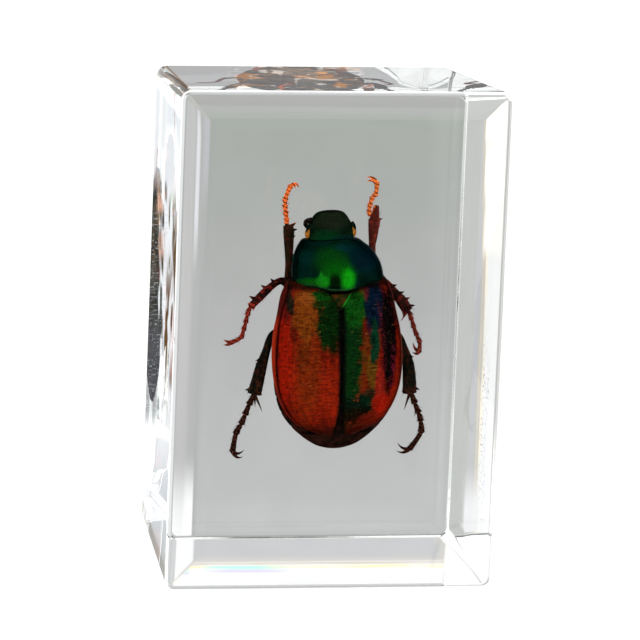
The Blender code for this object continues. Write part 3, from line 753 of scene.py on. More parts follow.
def caseAcross(x, y):
    # 0 at the suture, 1 at the rim
    back, widest, length, bluntness, taper = wingCase["outline"]
    behind = (-y - back).larger(0.0) / length
    before = (y + back).larger(0.0)
    width = (1 - behind**bluntness).larger(0.02) ** 0.5 * widest - before * before * taper
    return (abs(x) / width).smaller(1.0)


def caseFinish(name, side):
    finish = Finish(name)
    point = finish.point()
    x, y, z = finish.parts(point)
    across = caseAcross(x, y)
    turn = across.math("ARCSINE") / (math.pi / 2)
    wrinkle, fine, tear = (finish.grain(point, wingCase[key]) for key in ("wrinkle", "fine", "tear"))
    wide, long, shift = wingCase["flow"]
    flow = finish.join(turn * wide, y * long, side * shift)
    streak, hairline = (finish.cloud(flow, *wingCase[key]) for key in ("streak", "hairline"))
    tearShare, streakShare, wrinkleShare = wingCase["tearing"]
    jag = (tear - 0.5) * tearShare + (streak - 0.5) * streakShare + (wrinkle - 0.5) * wrinkleShare

    colour = finish.blend(finish.step(streak, 0.38, 0.62), wingCase["deepRed"], wingCase["warmRed"])
    for centre, size, weight, strength, softness, tone in wingCase["patches"][side]:
        mask = patch(finish, x, y, centre, size, jag * weight, softness)
        colour = finish.blend(mask * strength, colour, tone)
    if side > 0:
        dots = finish.step(finish.grain(point, wingCase["dots"]), 0.5, 0.6)
        for place, width, fadeIn, fadeOut, strength, tone in wingCase["pinkLines"]:
            line = 1 - finish.step(abs(across * 6.0 - place), *width)
            along = finish.step(y, *fadeIn) * finish.step(-y, *fadeOut)
            colour = finish.blend(line * dots * along * strength, colour, tone)

    # dark threads along the case, and painted shade in the hollows between the wrinkles and in rows of small
    # punctures
    colour = finish.blend(finish.step(hairline, 0.5, 0.75) * 0.4, colour, (0.0, 0.0, 0.0))
    colour = finish.blend(finish.step(wrinkle, 0.38, 0.56) * 0.55 + 0.45, wingCase["hollowShade"], colour)
    wide, long, bent, shift = wingCase["punctures"]
    punctures = finish.cells(finish.join(turn * wide, y * long + wrinkle * bent, side * shift), 1.0)
    colour = finish.blend(finish.step(punctures, 0.12, 0.5) * 0.5 + 0.5, wingCase["hollowShade"], colour)

    # painted shadow: the cases darken just behind the neck shield's curved hind edge
    colour = finish.blend(finish.step(fromShield(x, y), 3.75, 4.1) * 0.85, colour, wingCase["base"])
    glint = finish.step(fine, 0.62, 0.72) * finish.step(wrinkle, 0.5, 0.6)
    colour = finish.blend(glint * 0.35, colour, wingCase["glint"])
    colour = finish.blend(finish.step(y, -8.7, -7.2), wingCase["tip"], colour)

    # painted shade in the groove inside the rim, a rim whose red is lightened by a painted highlight on the
    # raised bead, and the dark suture
    groove = 1 - finish.step(abs(across - 0.955), 0.006, 0.02)
    colour = finish.blend(groove * 0.85, colour, wingCase["rimGrooveShade"])
    rim = finish.step(across, 0.968, 0.985) * finish.step(y, *wingCase["rimFade"][side])
    if side > 0:
        rim = rim * finish.step(z + streak * 0.5, *wingCase["rimFoot"])
    rimHighlightTone = finish.blend(finish.step(y + streak, 1.4, 2.4), wingCase["rimHighlightTone"][side], wingCase["rimFront"])
    rimHighlightTone = finish.blend(finish.step(hairline, 0.45, 0.62) * 0.5, rimHighlightTone, wingCase["rimThread"])
    colour = finish.blend(rim, colour, rimHighlightTone)
    seam = finish.step(abs(x) - finish.step(-y, 6.4, 9.2) * 0.24, 0.14, 0.5)
    colour = finish.blend(seam, wingCase["seam"], colour)
    plain, more = wingCase["roughness"]
    bump = (wrinkle * 0.6 + fine * 0.4, 0.8, wingCase["wrinkleDepth"])
    return finish.closeShell(colour, plain + wrinkle * more, wingCase["metallic"], bump)


def makeCase(name, side):
    acrossCount, alongCount = wingCase["steps"]
    rows = []
    for row in range(alongCount):
        along = 1.0 - (1.0 - row / (alongCount - 1)) ** wingCase["crowding"]
        rows.append([casePoint(side, column / (acrossCount - 1), along) for column in range(acrossCount)])
    builder = bmesh.new()
    joinRings(builder, rows, closed=False)
    piece = addPiece(name, builder, caseFinish(name.replace("_", " "), side), [name], sharp=60)
    thicken(piece, wingCase["thickness"])


makeCase("left_elytron", -1)
makeCase("right_elytron", 1)
print("wing cases made")


prothorax = {
    "pivot": (0.13, 4.3),
    "yaw": 1.5,
    "steps": (120, 46),  # of the mesh, round and along
    # y from the pivot, sideways bend, half width, crown height, rim height, belly depth
    "stations": (
        (-0.05, 0.0, 3.95, 3.3, -0.1, 2.1), (0.7, -0.02, 3.93, 3.4, -0.25, 2.6),
        (1.5, -0.08, 3.8, 3.25, -0.4, 2.8), (2.3, -0.17, 3.5, 2.75, -0.55, 2.8),
        (3.0, -0.27, 3.1, 2.15, -0.65, 2.6), (3.45, -0.34, 2.75, 1.7, -0.7, 2.3),
        (3.75, -0.38, 2.5, 1.4, -0.7, 1.9),
    ),
    # how much both ends draw in, and over what length
    "pinch": (0.12, 0.06),
    # the lobe behind: length, half width, how far forward it is felt and how soon that fades
    "lobe": (0.5, 2.3, 2.3, 1.5),
    # the right front corner is set back: by how much, from which x, over what width
    "setBack": (0.4, 1.2, 1.6),
    # a fine groove inside the hind edge: depth, place, half width
    "groove": (0.05, 0.3, 0.07),
    "dark": (0.0008, 0.009, 0.007),
    "bright": (0.0008, 0.013, 0.01),
    "roughness": 0.24,
    "metallic": 0.6,
    # painted shade in the groove along the hind margin, and the painted highlight line on its raised edge
    "marginGrooveShade": (0.002, 0.008, 0.003),
    "marginHighlight": (0.03, 0.11, 0.04),
    # spots of colour and of painted light, the bright green cores being painted highlights and the dark spot
    # between them a painted reflection: centre, half size, softness, tone
    "spots": (
        ((0.0, 6.3), (2.4, 1.5), 0.9, (0.001, 0.016, 0.004)),
        ((2.2, 6.5), (1.7, 1.1), 0.9, (0.001, 0.013, 0.019)),
        ((0.4, 7.4), (0.8, 0.3), 0.9, (0.001, 0.022, 0.026)),
        ((-2.6, 6.6), (0.7, 0.6), 0.9, (0.001, 0.02, 0.016)),
        ((-0.7, 6.4), (1.4, 0.95), 0.9, (0.002, 0.04, 0.004)),
        ((-0.2, 5.5), (1.3, 0.95), 0.9, (0.002, 0.07, 0.003)),
        ((-2.1, 4.6), (1.3, 0.42), 0.9, (0.003, 0.08, 0.003)),
        ((-1.5, 4.7), (0.6, 0.5), 0.9, (0.005, 0.17, 0.005)),
        ((-1.65, 5.1), (0.15, 0.45), 0.9, (0.006, 0.17, 0.008)),
        ((0.6, 4.75), (0.68, 1.0), 0.6, (0.003, 0.16, 0.003)),
        ((0.65, 4.75), (0.42, 0.75), 0.9, (0.005, 0.28, 0.005)),
        ((-0.5, 4.5), (0.5, 0.85), 0.8, (0.001, 0.007, 0.0012)),
    ),
}

underbody = {
    "steps": (96, 150),
    # y, half width at the rim, rim height, belly depth
    "stations": (
        (4.9, 3.3, -1.0, 2.0), (4.2, 3.95, -1.0, 2.4), (3.3, 4.15, -1.0, 2.7), (2.6, 4.3, -0.9, 3.1),
        (1.0, 4.7, -0.8, 3.6), (-1.0, 5.15, -0.75, 3.9), (-3.0, 5.35, -0.75, 3.85), (-5.1, 5.28, -0.75, 3.6),
        (-6.95, 4.8, -0.75, 3.1), (-8.3, 3.92, -0.8, 2.6), (-9.25, 2.95, -0.9, 2.2),
        (-9.85, 2.15, -1.0, 1.8), (-10.2, 1.5, -1.1, 1.55), (-10.42, 0.75, -1.15, 1.45),
    ),
    # y and height of the tail plate, behind the wing cases
    "tailTop": ((-8.2, 1.0), (-9.0, 0.2), (-9.7, -0.1), (-10.48, -0.85)),
    "underCases": (0.65, 0.7),  # how far it stays below the wing cases and inside their rim
    "tailWidth": 0.72,
    # grooves between the belly's plates: y of each, half width, how much they draw in and rise
    "plateEdges": (1.6, -0.9, -2.6, -4.2, -5.7, -7.0, -8.3),
    "plateGroove": (0.07, 0.02, 0.09),
    "upper": ((0.005, 0.0028, 0.002), (0.02, 0.006, 0.004)),
    # the belly is coppery, from behind to the head, with olive black, pale hairs, painted shade between the
    # hairs and white specks that are painted glints
    "copper": ((0.05, 0.035, 0.02), (0.62, 0.28, 0.1)),
    "olive": (0.012, 0.014, 0.009),
    "hair": (0.9, 0.66, 0.42),
    # painted shade between the hairs, and white specks that are painted glints
    "hollowShade": (0.003, 0.003, 0.002),
    "speckGlint": (0.95, 0.97, 1.0),
    # noise of the hairs, the copper, the specks and the upper side
    "hairs": ((2.4, 0.9, 2.0), 2.4, 4.0, 0.7, 1.2),
    "glow": (1.2, 4.0, 0.65),
    "specks": (4.5, 2.0, 0.7),
    "upperGlow": (1.6, 4.0, 0.65),
    "metallic": 0.85,
}

headPlate = {
    "centre": -0.42,
    "steps": (90, 70),
    # y, half width, top height, bottom height
    "stations": (
        (7.5, 1.9, 1.3, -1.8), (8.3, 2.0, 1.15, -1.9), (8.75, 2.0, 0.95, -1.95), (9.05, 1.92, 0.8, -1.9),
        (9.45, 1.7, 0.6, -1.75), (9.85, 1.46, 0.35, -1.5), (10.15, 1.18, 0.08, -1.2),
        (10.31, 0.8, -0.2, -0.9), (10.36, 0.4, -0.4, -0.75),
    ),
    # the seam behind the mouth shield and the lip in front of it: depth or height, y, half width
    "seam": (0.07, 9.05, 0.08),
    "lip": (0.13, 10.2, 0.12),
    # its raised side rims: height, how far out, half width, and from which y over what length they rise
    "sideRim": (0.14, 0.9, 0.09, 8.9, 0.5),
    # the ridge that cuts into each eye, from its base to its tip
    "ridge": ((1.75, 9.3, 0.3), (2.12, 8.5, 0.1)),
    "ridgeBow": (0.2, 0.1, 0.05),
    "ridgeHalf": 0.2,
    "eye": (1.93, 8.48, -0.15),
    "eyeSize": (0.3, 0.48, 0.45),
    "eyeAmber": (0.22, 0.075, 0.006),
    "eyeGlow": (0.5, 0.19, 0.012),
    "eyeShade": (0.05, 0.02, 0.006),
    "dark": (0.002, 0.007, 0.004),
    "bright": (0.005, 0.015, 0.006),
    "roughness": 0.42,
    "metallic": 0.4,
    "spots": (
        ((-0.9, 8.2), (1.1, 0.6), 0.9, (0.001, 0.024, 0.006)),
        ((0.6, 7.9), (1.3, 0.4), 0.9, (0.001, 0.012, 0.012)),
        ((-0.4, 9.6), (1.4, 0.7), 0.9, (0.009, 0.012, 0.006)),
    ),
}

scutellum = {
    "steps": (6, 12),  # of half its width and of its length
    "gap": (0.07, 0.05),  # to the wing cases, beside it and at its ends
    "leastHalf": 0.02,
    "sunk": 0.03,
    "crown": 0.12,
    "thickness": 0.3,
    "brown": ((0.004, 0.012, 0.002), (0.04, 0.014, 0.003)),
    "green": (0.008, 0.16, 0.01),
    "slope": 0.77,
    "mottle": (2.5, 4.0, 0.65),
}


def bodySection(y, width, top, rim, depth, topWidth, count):
    # a ring across the body, with its rim where the upper half meets the belly
    ring = []
    for i in range(count):
        turn = 2 * math.pi * i / count
        side, height = math.cos(turn), math.sin(turn)
        spread = math.copysign(abs(side) ** 0.85, side)
        if height > 0:
            half = width + (topWidth - width) * min(height**0.6 * 1.6, 1.0)
            ring.append(Vector((half * spread, y, rim + (top - rim) * height**0.85)))
        else:
            ring.append(Vector((width * spread, y, rim - (depth + rim) * abs(height) ** 0.85)))
    return ring


def bellyColour(finish, point):
    _, y, _ = finish.parts(point)
    hairs = finish.grain(point, underbody["hairs"])
    glow, specks = (finish.cloud(point, *underbody[key]) for key in ("glow", "specks"))
    copper = finish.blend(finish.step(y, 0.5, 5.0), *underbody["copper"])
    colour = finish.blend(finish.step(glow, 0.44, 0.58), underbody["olive"], copper)
    pale = finish.step(hairs, 0.54, 0.6) * finish.step(y, -1.0, 4.0)
    colour = finish.blend(pale, colour, underbody["hair"])
    # painted shade where the hairs thin out, then painted white glints
    colour = finish.blend(1 - finish.step(hairs, 0.36, 0.44), colour, underbody["hollowShade"])
    return finish.blend(finish.step(specks, 0.6, 0.64), colour, underbody["speckGlint"])


# what the smooth plates share: noise, density of the pits, how torn the spots are, tone of pale grain
smoothShell = {
    "mottle": (1.1, 4.0, 0.6),
    "grain": (7.0, 3.0, 0.7),
    "pits": 7.0,
    "tearing": 0.9,
    "paleGrain": (0.06, 0.12, 0.07),
}


def shellFinish(name, plate, bellyTop=-1.0, margin=False):
    # a smooth glossy plate with spots of colour and of painted light, and painted shade with a painted
    # highlight line along its hind margin if wanted
    finish = Finish(name)
    point = finish.point()
    x, y, z = finish.parts(point)
    mottle, grain = (finish.cloud(point, *smoothShell[key]) for key in ("mottle", "grain"))
    pits = finish.cells(point, smoothShell["pits"])
    jag = (mottle - 0.5) * smoothShell["tearing"]
    colour = finish.blend(finish.step(mottle, 0.35, 0.65), plate["dark"], plate["bright"])
    for centre, size, softness, tone in plate["spots"]:
        colour = finish.blend(patch(finish, x, y, centre, size, jag, softness), colour, tone)
    if margin:
        # painted shade in the groove along the hind margin, and a painted highlight line on the raised edge
        # outside it
        fromEdge = fromShield(x, y) - 4.25
        colour = finish.blend(finish.step(fromEdge, 0.42, 0.12) * 0.8, colour, plate["marginGrooveShade"])
        line = 1 - finish.step(abs(fromEdge - 0.2), 0.02, 0.07)
        line = line * finish.step(abs(x + 0.9), 2.7, 1.6) * finish.step(mottle, 0.4, 0.5)
        colour = finish.blend(line * 0.5, colour, plate["marginHighlight"])
    # dark and pale grain, and painted shade in the pits
    black = (0.0, 0.0, 0.0)
    colour = finish.blend(finish.step(grain, 0.35, 0.6) * 0.5 + 0.5, black, colour)
    colour = finish.blend(finish.step(grain, 0.66, 0.74) * 0.14, colour, smoothShell["paleGrain"])
    colour = finish.blend(finish.step(pits, 0.04, 0.22) * 0.4 + 0.6, black, colour)
    above = finish.step(z, bellyTop - 0.3, bellyTop)
    colour = finish.blend(above, bellyColour(finish, point), colour)
    metallic = underbody["metallic"] - above * (underbody["metallic"] - plate["metallic"])
    bump = (finish.step(pits, 0.05, 0.3), 0.25, 0.03)
    return finish.closeShell(colour, mottle * 0.12 + plate["roughness"], metallic, bump)


def makeProthorax(material):
    stations = prothorax["stations"]
    first, last = stations[0][0], stations[-1][0]
    around, steps = prothorax["steps"]
    pinchDepth, pinchLength = prothorax["pinch"]
    lobeLength, lobeHalf, lobeReach, lobeFade = prothorax["lobe"]
    setBack, cornerX, cornerWidth = prothorax["setBack"]
    grooveDepth, groovePlace, grooveHalf = prothorax["groove"]
    turn = Matrix.Rotation(math.radians(prothorax["yaw"]), 3, "Z")
    pivot = Vector((*prothorax["pivot"], 0.0))
    rings = []
    for k in range(steps + 1):
        y = first + (last - first) * k / steps
        bend, width, crown, rim, depth = curveThrough(stations, y)
        pinch = pinchDepth * hump((min(y - first, last - y), 0.0, pinchLength))
        ring = bodySection(y, width - pinch, crown - pinch, rim, depth - pinch, width - pinch, around)
        fade = max(1.0 - (y - first) / lobeReach, 0.0) ** lobeFade
        for p in ring:
            lobe = max(1.0 - (p.x / lobeHalf) ** 2, 0.0) * lobeLength * fade
            p.y -= lobe * clamp(p.z - rim)
            p.y -= setBack * clamp((p.x - cornerX) / cornerWidth) * ((y - first) / (last - first)) ** 3
            if p.z > rim:
                p.z -= grooveDepth * hump((y - first, groovePlace, grooveHalf))
            p.x += bend
        rings.append([turn @ p + pivot for p in ring])
    builder = bmesh.new()
    joinRings(builder, rings)
    addPiece("prothorax", builder, material, ["prothorax"])


def makeUnderbody(material):
    stations = underbody["stations"]
    front, tip = stations[0][0], stations[-1][0]
    caseTip = wingCase["stations"][-1][0]
    around, steps = underbody["steps"]
    belowCases, insideCases = underbody["underCases"]
    grooveHalf, drawnIn, rise = underbody["plateGroove"]
    rings = []
    for k in range(steps + 1):
        y = front + (tip - front) * math.sin(k / steps * math.pi / 2) ** 0.9
        width, rim, depth = curveThrough(stations, y)
        caseWidth, crown = curveThrough(wingCase["stations"], y)
        if y > underbody["tailTop"][0][0]:
            top = crown - belowCases
            topWidth = min(width, caseWidth - insideCases)
        else:
            (top,) = curveThrough(underbody["tailTop"], y)
            topWidth = min(width, caseWidth if y > caseTip else width) * underbody["tailWidth"]
        ring = bodySection(y, width, top, rim, depth, topWidth, around)
        groove = sum(hump((y, edge, grooveHalf)) for edge in underbody["plateEdges"])
        for p in ring:
            if p.z < rim + 0.1:
                p.x *= 1.0 - drawnIn * groove
                p.z += rise * groove
        rings.append(ring)
    builder = bmesh.new()
    joinRings(builder, rings)
    addPiece("underbody", builder, material, ["underbody"])


def makeHead(material):
    stations = headPlate["stations"]
    first, last = stations[0][0], stations[-1][0]
    around, steps = headPlate["steps"]
    rimHeight, rimPlace, rimHalf, rimStart, rimLength = headPlate["sideRim"]
    centre = headPlate["centre"]
    rings = []
    for k in range(steps + 1):
        y = first + (last - first) * math.sin(k / steps * math.pi / 2)
        width, top, bottom = curveThrough(stations, y)
        sideRim = clamp((y - rimStart) / rimLength) * rimHeight
        (seamDepth, *seam), (lipHeight, *lip) = headPlate["seam"], headPlate["lip"]
        relief = lipHeight * hump((y, *lip)) - seamDepth * hump((y, *seam))
        ring = []
        for i in range(around):
            turn = 2 * math.pi * i / around
            side, height = math.cos(turn), math.sin(turn)
            spread = math.copysign(abs(side) ** 0.8, side)
            z = (top + bottom) / 2 + (top - bottom) / 2 * math.copysign(abs(height) ** 0.8, height)
            if height > 0:
                z += sideRim * hump((abs(side), rimPlace, rimHalf)) + relief * height
            ring.append(Vector((centre + width * spread, y, z)))
        rings.append(ring)
    builder = bmesh.new()
    joinRings(builder, rings)
    for side in (-1, 1):
        base, tip = (Vector((centre + side * x, y, z)) for x, y, z in headPlate["ridge"])
        x, y, z = headPlate["ridgeBow"]
        middle = base.lerp(tip, 0.5) + Vector((side * x, y, z))
        addHorn(builder, base, middle, tip, headPlate["ridgeHalf"])
    addPiece("head", builder, material, ["head"])


def makeEyes():
    finish = Finish("amber eye")
    point = finish.point()
    _, _, z = finish.parts(point)
    facets = finish.cells(point, 9.0)
    tone = finish.blend(finish.step(facets, 0.1, 0.6), headPlate["eyeGlow"], headPlate["eyeAmber"])
    tone = finish.blend(finish.step(z, -0.35, 0.1), headPlate["eyeShade"], tone)
    values = {
        "Base Color": tone,
        "Roughness": 0.35,
        "Specular IOR Level": 0.1,
        "Normal": finish.bump(facets, 0.3, 0.02),
    }
    material = finish.close(finish.node("ShaderNodeBsdfPrincipled", values=values))
    x, y, z = headPlate["eye"]
    for name, side in (("left_eye", -1), ("right_eye", 1)):
        builder = bmesh.new()
        bmesh.ops.create_uvsphere(builder, u_segments=32, v_segments=20, radius=1.0)
        for vertex in builder.verts:
            scaled = [c * s for c, s in zip(vertex.co, headPlate["eyeSize"])]
            vertex.co = Vector(scaled) + Vector((headPlate["centre"] + side * x, y, z))
        addPiece(name, builder, material, [])


def makeScutellum(material):
    half, front, tip = wingCase["notch"]
    sideGap, endGap = scutellum["gap"]
    halfSteps, steps = scutellum["steps"]
    rows = []
    for k in range(steps + 1):
        t = k / steps
        y = front - endGap + (tip + endGap - front) * t
        width = max((half - sideGap) * (1.0 - t) ** 0.8, scutellum["leastHalf"])
        top = curveThrough(wingCase["stations"], y)[1] - scutellum["sunk"]
        row = []
        for u in range(-halfSteps, halfSteps + 1):
            out = u / halfSteps
            row.append(Vector((width * u / halfSteps, y, top - scutellum["crown"] * out**2 * width)))
        rows.append(row)
    builder = bmesh.new()
    joinRings(builder, rows, closed=False)
    piece = addPiece("scutellum", builder, material, ["scutellum"])
    thicken(piece, scutellum["thickness"])


def scutellumFinish():
    # brown-green, with bright green along its right edge
    finish = Finish("scutellum")
    point = finish.point()
    x, y, _ = finish.parts(point)
    mottle = finish.cloud(point, *scutellum["mottle"])
    colour = finish.blend(finish.step(mottle, 0.4, 0.62), *scutellum["brown"])
    edge = (y - wingCase["notch"][2]) * scutellum["slope"] - abs(x)
    green = (1 - finish.step(edge, 0.04, 0.2)) * finish.step(x + mottle * 0.8, 0.3, 0.8)
    colour = finish.blend(green, colour, scutellum["green"])
    return finish.closeShell(colour, 0.3 + mottle * 0.1, 0.4, (mottle, 0.4, 0.06))


def bellyFinish():
    # dark red-brown above, the belly's colours below
    finish = Finish("maroon body")
    point = finish.point()
    _, _, z = finish.parts(point)
    glow = finish.cloud(point, *underbody["upperGlow"])
    pits = finish.cells(finish.stretch(point, (1.0, 2.2, 1.0)), 5.0)
    upper = finish.blend(finish.step(glow, 0.4, 0.65), *underbody["upper"])
    above = finish.step(z, -1.7, -1.2)
    colour = finish.blend(above, bellyColour(finish, point), upper)
    bump = (pits * 0.4 + glow * 0.6, 0.5, 0.08)
    return finish.closeShell(colour, 0.35 + glow * 0.2, underbody["metallic"] - above * 0.75, bump)


makeProthorax(shellFinish("green shell", prothorax, margin=True))
makeScutellum(scutellumFinish())
makeUnderbody(bellyFinish())
print("body plates made")


legs = {
    "sides": 14,
    "perSpan": 5,
    "limbTip": ((0.06, 0.85), (0.1, 0.5)),  # its rounded end: distance, share of the size
    "footSides": 12,
    "footSpan": 12,
    # swelling of a foot joint along its length, of the last joint and of its end
    "jointShape": ((0.0, 0.62), (0.18, 0.8), (0.55, 0.9), (0.82, 1.12), (0.97, 1.22), (1.0, 0.66)),
    "lastJoint": (0.8, 0.35),
    "footFlat": 0.9,
    "footEnd": (0.7, 0.6),
    # teeth: how far out they root, extra length, half width and what their length adds to it
    "toothRoot": 0.6,
    "toothExtra": 0.15,
    "toothHalf": (0.15, 0.1),
    "spurHalf": 0.14,
    "spurBow": (0.04, 0.0, 0.0),
    "clawHalf": 0.2,
    # hairs along the shin and the foot: half width, length, lean forward and rise
    "hairHalf": 0.014,
    "hairLength": (0.2, 0.5),
    "hairLean": (0.8, 2.2),
    "hairRise": (-0.5, 0.5),
    "mottle": (2.4, 4.0, 0.6),
    "grain": ((2.0, 0.7, 2.0), 5.0, 3.0, 0.6),
    # rings of the foot: stretch, scale, and how dark they are
    "rings": ((0.5, 1.0, 0.3), 1.7, 0.22),
}

# which way the foot points along y and where it starts, the tones of the foot, of the shin's spots
# and of the shin, and how much the start leans with x
legFinishes = {
    "front legs": (1, 9.15, (0.66, 0.12, 0.025), (0.05, 0.007, 0.004), (0.012, 0.008, 0.004)),
    "front right leg": (1, 9.95, (0.6, 0.13, 0.03), (0.15, 0.022, 0.014), (0.05, 0.009, 0.006), -1.6),
    "middle legs": (-1, -2.4, (0.2, 0.022, 0.012), (0.14, 0.012, 0.008), (0.016, 0.005, 0.004)),
    "middle right leg": (-1, -0.9, (0.14, 0.02, 0.012), (0.1, 0.01, 0.008), (0.014, 0.005, 0.004)),
    "hind legs": (-1, 5.7, (0.03, 0.01, 0.006), (0.035, 0.009, 0.005), (0.005, 0.006, 0.004)),
}

